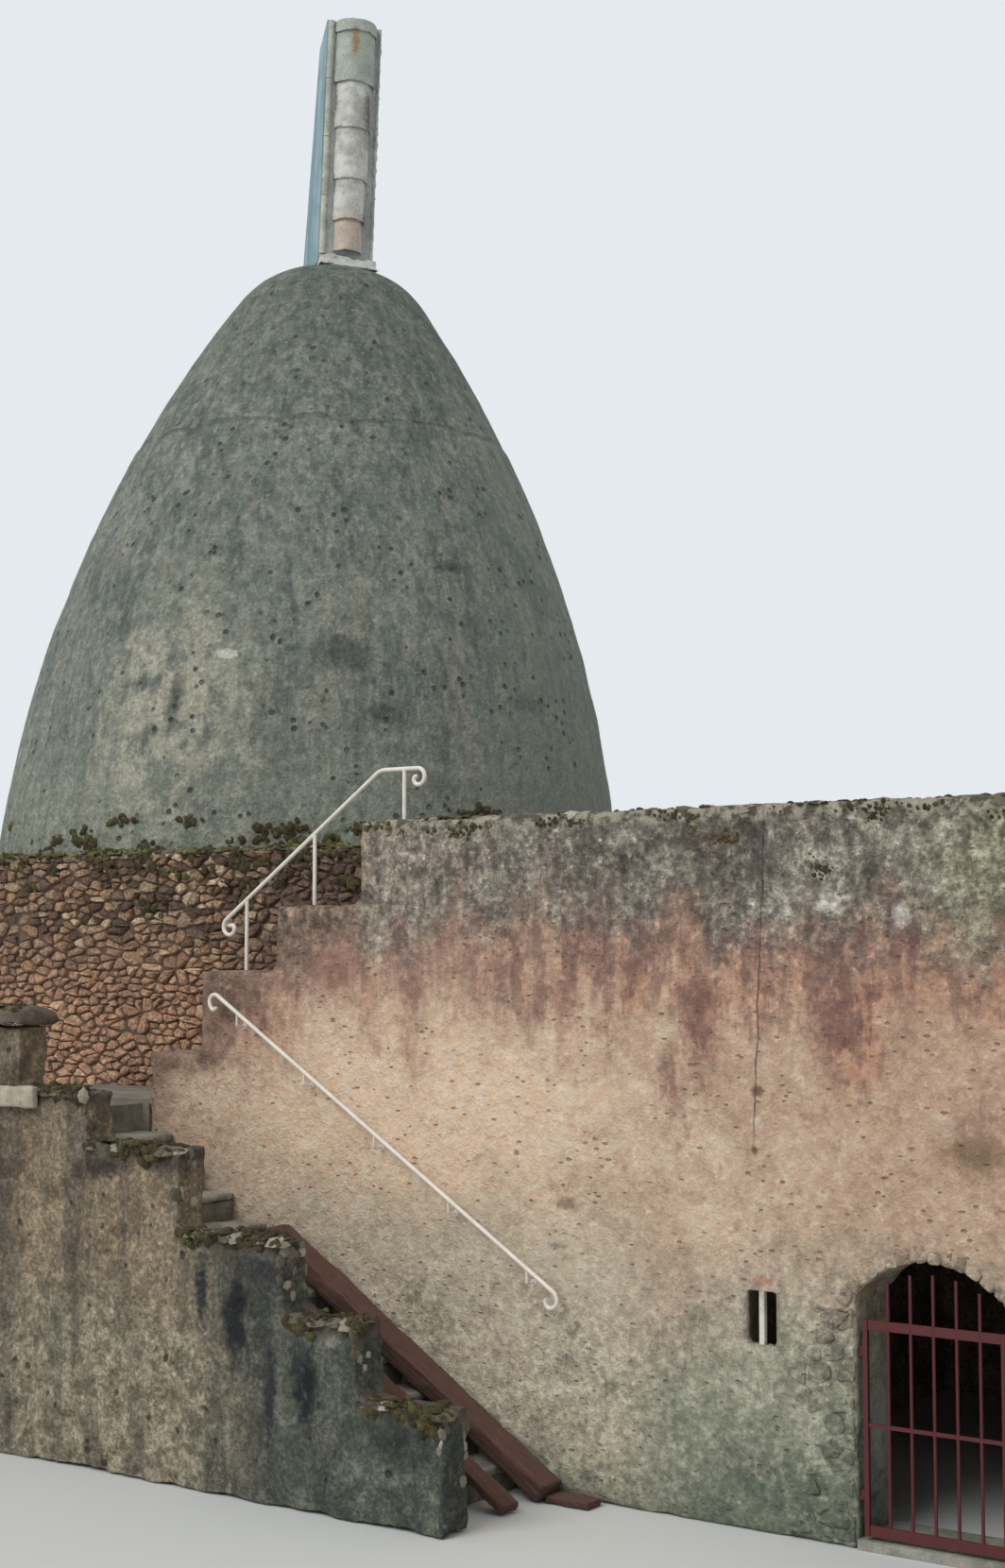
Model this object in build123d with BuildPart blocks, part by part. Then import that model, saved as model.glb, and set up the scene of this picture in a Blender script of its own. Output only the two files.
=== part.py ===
from build123d import *
import os
from math import asin, atan2, cos, degrees, hypot, radians, sin

# The stonework of a windmill: a rendered masonry cone on a raised mound, with a terrace and a vaulted
# room beside it, a flight of steps in front of the front wall and a second flight behind it.
# All sizes are millimetres. The origin is on the ground, below the foot of the cone's axis. +X runs
# along the front wall to the right, +Y runs from the front wall towards the back and +Z is up.

# Mound under the cone, a margin wider than the cone's foot
cone_foot_radius = 2680
mound_margin = 420
mound_front_margin = 270
mound_top = 3750
mound_wall = 450
mound_coping = 60

# Front wall and the terrace behind it
front_wall = 450
upper_flight_width = 800
wall_top = 3830
coping_height = 60
wall_left_end = 2210
end_step_tops = (2380, 2910, 3320)
end_step_runs = (440, 630, 670)
wall_right_end = 9450
side_wall = 450
terrace_top = 3250

# Doorway, its gate and the slit beside it
door_left = 7260
door_width = 820
door_spring = 1200
door_rise = 265
arch_overhang = 50
door_surround = 230
arch_height = 500
sill_height = 50
slit_centre = 6716
slit_width = 182
slit_sill = 970
slit_height = 280
slit_splay = 130
slit_bay_side = 300
slit_bar_side = 30
slit_bar_inset = 20

# Vaulted room behind the doorway
room_left = 5960
room_depth = 3550
room_wall = 400
vault_spring = 1300
vault_rise = 1000

# Lower flight, its parapet and the landing
lower_risers = 12
lower_riser = 170
lower_tread_depth = 270
flight_width = 850
lower_foot = 5120
tread_slab = 60
nosing = 25
parapet_thickness = 250
parapet_foot = 5450
parapet_runs = (590, 530, 790, 765, 585)
parapet_rises = (650, 400, 400, 460, 300, 367)
parapet_cap = 120
parapet_cap_overhang = 50
parapet_cap_edge_radius = 90
ledge_right = 2380
ledge_top = 2220
ledge_thickness = 140
ledge_depth = 60
landing_left = 460

# Upper flight behind the front wall
upper_risers = 7
upper_tread_depth = 245
upper_foot = 2590

# Cone
cone_shoulder_radius = 837
cone_shoulder_height = 4940
cone_flank_radius = 10460
cone_cap_radius = 775
cone_wall = 600
cone_foot_height = 200
cone_foot_batter = 20
lean_direction = 40.5
cone_lean = 1.8

# Tiled stack on the cone
stack_turn = 56.5
stack_lean = 2
stack_offset = 13
stack_reach = 290
stack_width = 490
stack_foot_depth = 470
stack_head_depth = 210
stack_height = 2190
stack_head_fall = 190
stack_seat = 45
stack_bed_margin = 25
haunch_height = 85
haunch_depth = 150
side_sheet = 12
tile_foot = 105
tile_exposures = (271, 366, 458, 416, 453)
tile_half_widths = (135, 152, 162, 172, 192, 195)
tile_rises = (112, 129, 140, 145, 150, 167)
tile_thickness = 14
tile_lap = 60
tile_taper = 6
tile_gap = 3
tile_offset = 8
roll_radius = 28
roll_lengths = 4
roll_joint = 6
strip_width = 36
strip_depth = 50

# Handrails: each scroll is a row of bends, given as radius and angle turned
rail_radius = 13
rail_wall_gap = 62
lower_rail_height = 1152
lower_rail_left = 2878
lower_rail_right = 5436
lower_scroll_top = ((44, 122), (60, 50), (20, 130))
lower_scroll_foot = ((60, 58), (44, 90), (32, 90), (16, 60))
bracket_count = 5
bracket_spacing = 554
bracket_right = 5260
bracket_drop = 85
bracket_radius = 7
bracket_bend = 15
bracket_rose = 20
rose_thickness = 5
upper_rail_inset = 150
upper_rail_start = (2742, 3236)
upper_rail_bend = (4009, 4143)
upper_rail_end = 4300
upper_rail_bend_radius = 120
upper_scroll_top = ((52, 90), (48, 90), (34, 90), (16, 120))
upper_scroll_foot = ((60, 54), (52, 90), (42, 90), (20, 150))
upper_posts = (2917, 3484, 4196)
post_radius = 12

# Gate
gate_inset = 30
gate_foot = 70
hinge_gap = 24
hinge_heights = (260, 980)
pin_radius = 7
pin_clearance = 0.3
ring_wall = 6
ring_height = 40
stile_width = 25
leaf_end_gap = 12
bar_radius = 9
bar_count = 7
bar_arch_gap = 55
rail_thickness = 12
bottom_rail = 55
middle_rail = 20
middle_rail_height = 615
top_rail = 50
top_rail_height = 1105

# Timbers lying on the lower flight
timber_thicknesses = (110, 60)
timber_widths = (200, 150)
timber_wall_gaps = (20, 400)
timber_lengths = (2400, 1900)
timber_rest = 0.3
foot_board_length = 290
foot_board_width = 150
foot_board_thickness = 45
foot_board_gap = 25

# Places worked out from the sizes above
mound_side = cone_foot_radius + mound_margin
mound_front = cone_foot_radius + mound_front_margin
front_face = mound_front + upper_flight_width + front_wall
front_y = -front_face
wall_inner_y = front_y + front_wall
rubble_y = -mound_front
flight_outer_y = front_y - flight_width
parapet_outer_y = flight_outer_y - parapet_thickness
wall_body_top = wall_top - coping_height
mound_body_top = mound_top - mound_coping
main_wall_left = wall_left_end + sum(end_step_runs)
door_right = door_left + door_width
door_centre = (door_left + door_right) / 2
surround_left = door_left - door_surround
surround_right = door_right + door_surround
slit_bay_left = slit_centre - slit_width / 2 - slit_bay_side
arch_top = door_spring + arch_height
arch_half = door_width / 2 + arch_overhang
arch_radius = (arch_half**2 + door_rise**2) / (2 * door_rise)
arch_centre_z = door_spring + door_rise - arch_radius
room_right = wall_right_end - side_wall
room_back = wall_inner_y + room_depth
terrace_back = mound_side - side_wall
landing_top = lower_risers * lower_riser
lower_head = lower_foot - (lower_risers - 1) * lower_tread_depth
lower_slope = lower_riser / lower_tread_depth
upper_riser = (terrace_top - landing_top) / upper_risers
upper_head = upper_foot + (upper_risers - 1) * upper_tread_depth

os.makedirs("parts", exist_ok=True)


def save(piece, name):
    """Labels a finished piece and writes it to a file of its own."""
    piece.part.label = name
    export_step(piece.part, f"parts/{name}.step")


def block(x_range, y_range, z_range):
    """A plain mass of masonry between two planes each way."""
    with BuildPart() as mass:
        with BuildSketch(Plane.XY.offset(z_range[0])):
            with Locations((sum(x_range) / 2, sum(y_range) / 2)):
                Rectangle(x_range[1] - x_range[0], y_range[1] - y_range[0])
        extrude(amount=z_range[1] - z_range[0])
    return mass


def stair_outline(foot_x, direction, tread, riser, count, drop=0):
    """Corners of a flight seen from the side, from the foot of its first riser to the end of its
    last tread and down to the ground. Each level is lower than the walked one by drop."""
    corners = [(foot_x, 0)]
    for step in range(count):
        level = (step + 1) * riser - drop
        corners.append((foot_x + direction * step * tread, level))
        corners.append((foot_x + direction * (step + 1) * tread, level))
    corners.append((foot_x + direction * count * tread, 0))
    return corners


def nosing_height(x):
    """Height of the line through the noses of the lower flight's treads."""
    return lower_riser + (lower_foot + nosing - x) * lower_slope


def arch_height_at(x):
    """Height of the door arch's underside."""
    return arch_centre_z + (arch_radius**2 - (x - door_centre) ** 2) ** 0.5


# Front wall, from its stepped left end to the right corner
with BuildPart() as front_wall_stepped_end:
    with BuildSketch(Plane.XZ.offset(front_face)):
        with BuildLine():
            corners = [(main_wall_left, 0), (wall_left_end, 0)]
            step_end = wall_left_end
            for level, run in zip(end_step_tops, end_step_runs):
                corners += [(step_end, level), (step_end + run, level)]
                step_end += run
            Polyline(*corners, close=True)
        make_face()
    extrude(amount=-front_wall)
save(front_wall_stepped_end, "front_wall_stepped_end")

front_depth = (front_y, wall_inner_y)
front_wall_main = block((main_wall_left, slit_bay_left), front_depth, (0, wall_body_top))
save(front_wall_main, "front_wall_main")

# The slit is narrow outside and opens out through the wall's thickness to the room.
with BuildPart() as slit_bay:
    with BuildSketch(Plane.XZ.offset(front_face)):
        with Locations(((slit_bay_left + surround_left) / 2, wall_body_top / 2)):
            Rectangle(surround_left - slit_bay_left, wall_body_top)
    extrude(amount=-front_wall)
    slit_middle = (slit_centre, slit_sill + slit_height / 2)
    with BuildSketch(Plane.XZ.offset(front_face)):
        with Locations(slit_middle):
            Rectangle(slit_width, slit_height)
    with BuildSketch(Plane.XZ.offset(front_face - front_wall)):
        with Locations(slit_middle):
            Rectangle(slit_width + 2 * slit_splay, slit_height + 2 * slit_splay)
    loft(mode=Mode.SUBTRACT)
save(slit_bay, "slit_bay")

with BuildPart() as slit_bar:
    with BuildSketch(Plane.XY.offset(slit_sill)):
        with Locations((slit_centre, front_y + slit_bar_inset)):
            Rectangle(slit_bar_side, slit_bar_side)
    extrude(amount=slit_height)
    slit_bar_drop = slit_splay * (slit_bar_inset + slit_bar_side / 2) / front_wall
    extrude(faces().sort_by(Axis.Z)[0], amount=slit_bar_drop)
    extrude(faces().sort_by(Axis.Z)[-1], amount=slit_bar_drop)
    with BuildSketch(Plane.YZ.offset(slit_centre - slit_bar_side)):
        with BuildLine():
            Polyline(
                (front_y, slit_sill),
                (wall_inner_y, slit_sill - slit_splay),
                (wall_inner_y, slit_sill + slit_height + slit_splay),
                (front_y, slit_sill + slit_height),
                close=True,
            )
        make_face()
    extrude(amount=2 * slit_bar_side, mode=Mode.INTERSECT)
save(slit_bar, "slit_bar")

door_jamb_left = block((surround_left, door_left), front_depth, (0, door_spring))
save(door_jamb_left, "door_jamb_left")
door_jamb_right = block((door_right, surround_right), front_depth, (0, door_spring))
save(door_jamb_right, "door_jamb_right")

with BuildPart() as door_arch:
    with BuildSketch(Plane.XZ.offset(front_face)):
        with BuildLine():
            Line((surround_left, door_spring), (door_centre - arch_half, door_spring))
            ThreePointArc(
                (door_centre - arch_half, door_spring),
                (door_centre, door_spring + door_rise),
                (door_centre + arch_half, door_spring),
            )
            Polyline(
                (door_centre + arch_half, door_spring),
                (surround_right, door_spring),
                (surround_right, arch_top),
                (surround_left, arch_top),
                (surround_left, door_spring),
            )
        make_face()
    extrude(amount=-front_wall)
save(door_arch, "door_arch")

wall_over_door = block((surround_left, surround_right), front_depth, (arch_top, wall_body_top))
save(wall_over_door, "wall_over_door")
front_wall_right = block((surround_right, wall_right_end), front_depth, (0, wall_body_top))
save(front_wall_right, "front_wall_right")
door_sill = block((door_left, door_right), front_depth, (0, sill_height))
save(door_sill, "door_sill")

# Walls round the terrace and their mortar copings
side_depth = (wall_inner_y, terrace_back)
right_wall = block((room_right, wall_right_end), side_depth, (0, wall_body_top))
save(right_wall, "right_wall")
back_depth = (terrace_back, mound_side)
terrace_back_wall = block((mound_side, wall_right_end), back_depth, (0, wall_body_top))
save(terrace_back_wall, "terrace_back_wall")
coping_level = (wall_body_top, wall_top)
front_coping = block((main_wall_left, wall_right_end), front_depth, coping_level)
save(front_coping, "front_coping")
right_coping = block((room_right, wall_right_end), side_depth, coping_level)
save(right_coping, "right_coping")
back_coping = block((mound_side, wall_right_end), back_depth, coping_level)
save(back_coping, "back_coping")

# Room behind the doorway: side and back walls, and a barrel vault that carries the terrace
room_left_wall = block((room_left - room_wall, room_left), (wall_inner_y, room_back), (0, terrace_top))
save(room_left_wall, "room_left_wall")
back_wall_depth = (room_back, room_back + room_wall)
room_back_wall = block((room_left - room_wall, room_right), back_wall_depth, (0, terrace_top))
save(room_back_wall, "room_back_wall")

with BuildPart() as room_vault:
    with BuildSketch(Plane.XZ.offset(-wall_inner_y)):
        with BuildLine():
            ThreePointArc(
                (room_left, vault_spring),
                ((room_left + room_right) / 2, vault_spring + vault_rise),
                (room_right, vault_spring),
            )
            Polyline(
                (room_right, vault_spring),
                (room_right, terrace_top),
                (room_left, terrace_top),
                (room_left, vault_spring),
            )
        make_face()
    extrude(amount=-room_depth)
save(room_vault, "room_vault")

# Filling under the terrace
core_right = room_left - room_wall
terrace_core_left = block((mound_side, core_right), (rubble_y, terrace_back), (0, terrace_top))
save(terrace_core_left, "terrace_core_left")
terrace_core_front = block((upper_head, core_right), (wall_inner_y, rubble_y), (0, terrace_top))
save(terrace_core_front, "terrace_core_front")
core_back_depth = (room_back + room_wall, terrace_back)
terrace_core_back = block((core_right, room_right), core_back_depth, (0, terrace_top))
save(terrace_core_back, "terrace_core_back")

# Mound: rubble walls on four sides, a filling and a mossy coping
mound_inner = mound_side - mound_wall
mound_inner_y = rubble_y + mound_wall
rubble_front_wall = block((-mound_side, mound_side), (rubble_y, mound_inner_y), (0, mound_body_top))
save(rubble_front_wall, "rubble_front_wall")
rubble_back_wall = block((-mound_side, mound_side), (mound_inner, mound_side), (0, mound_body_top))
save(rubble_back_wall, "rubble_back_wall")
rubble_left_wall = block((-mound_side, -mound_inner), (mound_inner_y, mound_inner), (0, mound_body_top))
save(rubble_left_wall, "rubble_left_wall")
rubble_right_wall = block((mound_inner, mound_side), (mound_inner_y, mound_inner), (0, mound_body_top))
save(rubble_right_wall, "rubble_right_wall")
mound_core = block((-mound_inner, mound_inner), (mound_inner_y, mound_inner), (0, mound_body_top))
save(mound_core, "mound_core")
mound_coping_bed = block((-mound_side, mound_side), (rubble_y, mound_side), (mound_body_top, mound_top))
save(mound_coping_bed, "mound_coping")

# Cone: a thick masonry shell whose flank is one long arc, a rough foot and a domed cap of mortar.
# The whole of it leans a little, so it is turned about a tilted axis.
lean = Vector(cos(radians(lean_direction)), sin(radians(lean_direction)), 0)
cone_up = lean * sin(radians(cone_lean)) + Vector(0, 0, cos(radians(cone_lean)))
cone_foot_point = Vector(0, 0, mound_top)
cone_side = Vector(-lean.Y, lean.X, 0)
cone_profile = Plane(origin=cone_foot_point, x_dir=cone_side, z_dir=cone_side.cross(cone_up))
cone_axis = Axis(cone_foot_point, cone_up)
flank_chord = hypot(cone_foot_radius - cone_shoulder_radius, cone_shoulder_height)
flank_heading = degrees(atan2(cone_shoulder_height, cone_shoulder_radius - cone_foot_radius))
shoulder_heading = flank_heading + degrees(asin(flank_chord / 2 / cone_flank_radius))
shoulder = (cone_shoulder_radius, cone_shoulder_height)

with BuildPart() as cone_foot:
    with BuildSketch(Plane.XZ):
        with BuildLine():
            Polyline(
                (cone_foot_radius - cone_wall, mound_top),
                (cone_foot_radius, mound_top),
                (cone_foot_radius - cone_foot_batter, mound_top + cone_foot_height),
                (cone_foot_radius - cone_wall, mound_top + cone_foot_height),
                close=True,
            )
        make_face()
    revolve(axis=Axis.Z)
save(cone_foot, "cone_foot")

with BuildPart() as cone_shell:
    with BuildSketch(cone_profile):
        with BuildLine():
            RadiusArc((cone_foot_radius, 0), shoulder, -cone_flank_radius)
            Line(shoulder, (cone_shoulder_radius - cone_wall, cone_shoulder_height))
            RadiusArc(
                (cone_shoulder_radius - cone_wall, cone_shoulder_height),
                (cone_foot_radius - cone_wall, 0),
                cone_flank_radius,
            )
            Line((cone_foot_radius - cone_wall, 0), (cone_foot_radius, 0))
        make_face()
    revolve(axis=cone_axis)
    split(bisect_by=Plane.XY.offset(mound_top + cone_foot_height), keep=Keep.TOP)
save(cone_shell, "cone_shell")

cap_rise_angle = 180 - shoulder_heading
cap_height = cone_cap_radius * (1 - cos(radians(cap_rise_angle)))
cap_top = cone_foot_point + cone_up * (cone_shoulder_height + cap_height)
stack_up = lean * sin(radians(stack_lean)) + Vector(0, 0, cos(radians(stack_lean)))
stack_right = Vector(cos(radians(stack_turn)), sin(radians(stack_turn)), 0)
stack_plane = Plane(origin=cap_top + lean * stack_offset, x_dir=stack_right, z_dir=stack_up)

with BuildPart() as cone_cap:
    with BuildSketch(cone_profile):
        with BuildLine():
            Line((0, cone_shoulder_height), shoulder)
            cap_arc = JernArc(
                start=shoulder,
                tangent=(cos(radians(shoulder_heading)), sin(radians(shoulder_heading))),
                radius=cone_cap_radius,
                arc_size=cap_rise_angle,
            )
            Polyline(
                cap_arc @ 1,
                (0, cone_shoulder_height + cap_height),
                (0, cone_shoulder_height),
            )
        make_face()
    revolve(axis=cone_axis)
    split(bisect_by=stack_plane.offset(-stack_seat), keep=Keep.BOTTOM)
save(cone_cap, "cone_cap")

# Stack on the cone: a leaning core on a mortar bed, a sheet on its left side, and on its front a
# column of half-round tiles between a roll and a strip of mortar
stack_front = -stack_reach
stack_back = stack_front + stack_foot_depth
stack_half = stack_width / 2
stack_section = Plane(origin=stack_plane.origin, x_dir=stack_plane.y_dir, z_dir=stack_plane.x_dir)
stack_outline = (
    (stack_front, 0),
    (stack_back, 0),
    (stack_front + stack_head_depth, stack_height - stack_head_fall),
    (stack_front, stack_height),
)

with BuildPart() as stack_bed:
    with BuildSketch(stack_section.offset(-stack_half - stack_bed_margin)):
        with BuildLine():
            Polyline(
                (stack_front - haunch_depth, -stack_seat),
                (stack_back + stack_bed_margin, -stack_seat),
                (stack_back + stack_bed_margin, 0),
                (stack_front, 0),
                (stack_front, haunch_height),
                (stack_front - haunch_depth / 2, haunch_height * 0.8),
                close=True,
            )
        make_face()
    extrude(amount=stack_width + 2 * stack_bed_margin)
save(stack_bed, "stack_bed")

with BuildPart() as stack_core:
    with BuildSketch(stack_section.offset(-stack_half)):
        with BuildLine():
            Polyline(*stack_outline, close=True)
        make_face()
    extrude(amount=stack_width)
save(stack_core, "stack_core")

with BuildPart() as stack_side_sheet:
    with BuildSketch(stack_section.offset(-stack_half - side_sheet)):
        with BuildLine():
            Polyline(*stack_outline, close=True)
        make_face()
    extrude(amount=side_sheet)
save(stack_side_sheet, "stack_side_sheet")

tile_plane = Plane(
    origin=stack_plane.origin + stack_plane.x_dir * tile_offset + stack_plane.y_dir * stack_front,
    x_dir=stack_plane.x_dir,
    z_dir=stack_plane.z_dir,
)
for number, (tile_half, tile_rise) in enumerate(zip(tile_half_widths, tile_rises)):
    tile_low = tile_foot + sum(tile_exposures[:number])
    if number < len(tile_exposures):
        tile_high = tile_low + tile_exposures[number] + tile_lap
        step_in = tile_thickness + tile_gap
        head_half = min(tile_half - tile_taper, tile_half_widths[number + 1] - step_in)
        head_rise = min(tile_rise - tile_taper, tile_rises[number + 1] - step_in)
    else:
        tile_high = stack_height
        head_half = tile_half - tile_taper
        head_rise = tile_rise - tile_taper
    with BuildPart() as stack_tile:
        for level, half, rise in ((tile_low, tile_half, tile_rise), (tile_high, head_half, head_rise)):
            inner = half - tile_thickness
            with BuildSketch(tile_plane.offset(level)):
                with BuildLine():
                    ThreePointArc((-half, 0), (0, -rise), (half, 0))
                    Line((half, 0), (inner, 0))
                    ThreePointArc((inner, 0), (0, tile_thickness - rise), (-inner, 0))
                    Line((-inner, 0), (-half, 0))
                make_face()
        loft()
    save(stack_tile, f"stack_tile_{number + 1}")

# Half-round roll up the left corner, laid in short lengths
roll_bottom = haunch_height
roll_pitch = (stack_height - roll_bottom) / roll_lengths
with BuildPart() as stack_roll:
    for number in range(roll_lengths):
        with BuildSketch(stack_plane.offset(roll_bottom + number * roll_pitch)):
            with Locations((-stack_half + roll_radius, stack_front)):
                Circle(roll_radius)
                Rectangle(2 * roll_radius, roll_radius, align=(Align.CENTER, Align.MIN), mode=Mode.SUBTRACT)
        extrude(amount=roll_pitch - roll_joint)
save(stack_roll, "stack_roll")

with BuildPart() as stack_edge_strip:
    with BuildSketch(stack_plane.offset(haunch_height)):
        with BuildLine():
            Polyline(
                (stack_half - strip_width, stack_front),
                (stack_half, stack_front),
                (stack_half, stack_front - strip_depth / 2),
                (stack_half - strip_width / 2, stack_front - strip_depth),
                close=True,
            )
        make_face()
    extrude(amount=stack_height - haunch_height)
save(stack_edge_strip, "stack_edge_strip")

# Lower flight: a stepped mass with a stone tread on each step
with BuildPart() as lower_flight:
    with BuildSketch(Plane.XZ.offset(front_face)):
        with BuildLine():
            outline = stair_outline(
                lower_foot, -1, lower_tread_depth, lower_riser, lower_risers - 1, tread_slab
            )
            Polyline(*outline, close=True)
        make_face()
    extrude(amount=flight_width)
save(lower_flight, "lower_flight")

with BuildPart() as lower_treads:
    for step in range(lower_risers - 1):
        with BuildSketch(Plane.XY.offset((step + 1) * lower_riser - tread_slab)):
            with Locations((lower_foot + nosing - step * lower_tread_depth, front_y)):
                Rectangle(lower_tread_depth + nosing, flight_width, align=(Align.MAX, Align.MAX))
        extrude(amount=tread_slab)
save(lower_treads, "lower_treads")

parapet_levels = [sum(parapet_rises[: count + 1]) for count in range(len(parapet_rises))]
parapet_ends = [parapet_foot - sum(parapet_runs[:count]) for count in range(len(parapet_rises))]
with BuildPart() as stair_parapet:
    with BuildSketch(Plane.XZ.offset(-flight_outer_y)):
        with BuildLine():
            corners = [(landing_left, 0), (parapet_foot, 0)]
            for level, end, next_end in zip(parapet_levels, parapet_ends, parapet_ends[1:] + [landing_left]):
                corners += [(end, level), (next_end, level)]
            Polyline(*corners, close=True)
        make_face()
    extrude(amount=parapet_thickness)
save(stair_parapet, "stair_parapet")

with BuildPart() as landing:
    with BuildSketch():
        with BuildLine():
            Polyline(
                (landing_left, flight_outer_y),
                (lower_head, flight_outer_y),
                (lower_head, front_y),
                (wall_left_end, front_y),
                (wall_left_end, wall_inner_y),
                (upper_foot, wall_inner_y),
                (upper_foot, rubble_y),
                (landing_left, rubble_y),
                close=True,
            )
        make_face()
    extrude(amount=landing_top)
save(landing, "landing")

# Rounded, overhanging cap on the landing's parapet, and a ledge on its outer face
cap_right = parapet_ends[-1] + parapet_cap_overhang
with BuildPart() as landing_parapet_cap:
    with BuildSketch(Plane.XY.offset(parapet_levels[-1])):
        with Locations((landing_left, parapet_outer_y - parapet_cap_overhang)):
            Rectangle(
                cap_right - landing_left,
                parapet_thickness + 2 * parapet_cap_overhang,
                align=(Align.MIN, Align.MIN),
            )
    extrude(amount=parapet_cap)
    fillet(landing_parapet_cap.faces().sort_by(Axis.Z)[-1].edges(), radius=parapet_cap_edge_radius)
save(landing_parapet_cap, "landing_parapet_cap")

ledge_y = (parapet_outer_y - ledge_depth, parapet_outer_y)
landing_ledge = block((landing_left, ledge_right), ledge_y, (ledge_top - ledge_thickness, ledge_top))
save(landing_ledge, "landing_ledge")

# Upper flight, from the landing to the terrace
with BuildPart() as upper_flight:
    with BuildSketch(Plane.XZ.offset(-wall_inner_y)):
        with BuildLine():
            outline = [(upper_foot, 0)]
            for step in range(upper_risers - 1):
                level = landing_top + (step + 1) * upper_riser - tread_slab
                outline.append((upper_foot + step * upper_tread_depth, level))
                outline.append((upper_foot + (step + 1) * upper_tread_depth, level))
            outline.append((upper_head, 0))
            Polyline(*outline, close=True)
        make_face()
    extrude(amount=wall_inner_y - rubble_y)
save(upper_flight, "upper_flight")

with BuildPart() as upper_treads:
    for step in range(upper_risers - 1):
        with BuildSketch(Plane.XY.offset(landing_top + (step + 1) * upper_riser - tread_slab)):
            with Locations((upper_foot - nosing + step * upper_tread_depth, wall_inner_y)):
                Rectangle(upper_tread_depth + nosing, rubble_y - wall_inner_y, align=(Align.MIN, Align.MIN))
        extrude(amount=tread_slab)
save(upper_treads, "upper_treads")

# Timbers lying side by side on the lower flight, and a short board at its foot
timber_angle = degrees(atan2(lower_riser, lower_tread_depth))
ground_x = lower_foot + nosing + lower_riser / lower_slope
for name, width, thickness, gap, length in zip(
    ("timber_by_wall", "timber_outer"), timber_widths, timber_thicknesses, timber_wall_gaps, timber_lengths
):
    with BuildPart() as timber:
        slope_up = Vector(-cos(radians(timber_angle)), 0, sin(radians(timber_angle)))
        timber_plane = Plane(
            origin=(ground_x, front_y - gap, timber_rest), x_dir=slope_up, z_dir=(0, -1, 0)
        )
        with BuildSketch(timber_plane):
            Rectangle(length, thickness, align=(Align.MIN, Align.MAX))
        extrude(amount=width)
    save(timber, name)

foot_board_left = ground_x + foot_board_thickness * lower_slope + timber_rest
foot_board = block(
    (foot_board_left, foot_board_left + foot_board_length),
    (front_y - foot_board_gap - foot_board_width, front_y - foot_board_gap),
    (0, foot_board_thickness),
)
save(foot_board, "foot_board")


def scroll(start, tangent, sense, bends):
    """A run of arcs, each one tangent to the one before."""
    for radius, angle in bends:
        bend = JernArc(start=start, tangent=tangent, radius=radius, arc_size=sense * angle)
        start, tangent = bend @ 1, bend % 1


# Handrail on the front wall over the lower flight, with a scroll at each end and cranked brackets
rail_y = front_y - rail_wall_gap - rail_radius


def lower_rail_z(x):
    """Height of the lower handrail's centre line."""
    return nosing_height(x) + lower_rail_height


with BuildPart() as lower_handrail:
    with BuildLine(Plane.XZ.offset(-rail_y)) as rail_line:
        rail_run = Line(
            (lower_rail_left, lower_rail_z(lower_rail_left)),
            (lower_rail_right, lower_rail_z(lower_rail_right)),
        )
        scroll(rail_run @ 1, rail_run % 1, -1, lower_scroll_foot)
        scroll(rail_run @ 0, -(rail_run % 0), 1, lower_scroll_top)
    rail_path = rail_line.wires()[0]
    with BuildSketch(Plane(origin=rail_path @ 0, z_dir=rail_path % 0)):
        Circle(rail_radius)
    sweep(path=rail_path)
save(lower_handrail, "lower_handrail")

with BuildPart() as lower_brackets:
    for number in range(bracket_count):
        bracket_x = bracket_right - number * bracket_spacing
        rail_z = lower_rail_z(bracket_x)
        with BuildLine(Plane.YZ.offset(bracket_x)) as bracket_line:
            FilletPolyline(
                (front_y, rail_z - bracket_drop),
                (rail_y, rail_z - bracket_drop),
                (rail_y, rail_z - rail_radius + bracket_radius),
                radius=bracket_bend,
            )
        with BuildSketch(Plane(origin=bracket_line.wires()[0] @ 0, z_dir=(0, -1, 0))):
            Circle(bracket_radius)
        sweep(path=bracket_line.wires()[0])
        with BuildSketch(Plane.XZ.offset(front_face)):
            with Locations((bracket_x, rail_z - bracket_drop)):
                Circle(bracket_rose)
        extrude(amount=rose_thickness)
    with BuildSketch(Plane(origin=rail_path @ 0, z_dir=rail_path % 0)):
        Circle(rail_radius)
    sweep(path=rail_path, mode=Mode.SUBTRACT)
save(lower_brackets, "lower_brackets")

# Handrail on posts along the wall's stepped end
upper_rail_y = front_y + upper_rail_inset
post_levels = (end_step_tops[1], end_step_tops[2], wall_top)
upper_rail_slope = (upper_rail_bend[1] - upper_rail_start[1]) / (upper_rail_bend[0] - upper_rail_start[0])
with BuildPart() as upper_handrail:
    with BuildLine(Plane.XZ.offset(-upper_rail_y)) as rail_line:
        rail_run = FilletPolyline(
            upper_rail_start,
            upper_rail_bend,
            (upper_rail_end, upper_rail_bend[1]),
            radius=upper_rail_bend_radius,
        )
        scroll(rail_run @ 1, rail_run % 1, -1, upper_scroll_top)
        scroll(rail_run @ 0, -(rail_run % 0), 1, upper_scroll_foot)
    rail_path = rail_line.wires()[0]
    with BuildSketch(Plane(origin=rail_path @ 0, z_dir=rail_path % 0)):
        Circle(rail_radius)
    sweep(path=rail_path)
    for post_x, post_foot in zip(upper_posts, post_levels):
        rail_z = min(
            upper_rail_bend[1],
            upper_rail_start[1] + (post_x - upper_rail_start[0]) * upper_rail_slope,
        )
        with BuildSketch(Plane.XY.offset(post_foot)):
            with Locations((post_x, upper_rail_y)):
                Circle(post_radius)
        extrude(amount=rail_z - post_foot)
save(upper_handrail, "upper_handrail")

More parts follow.
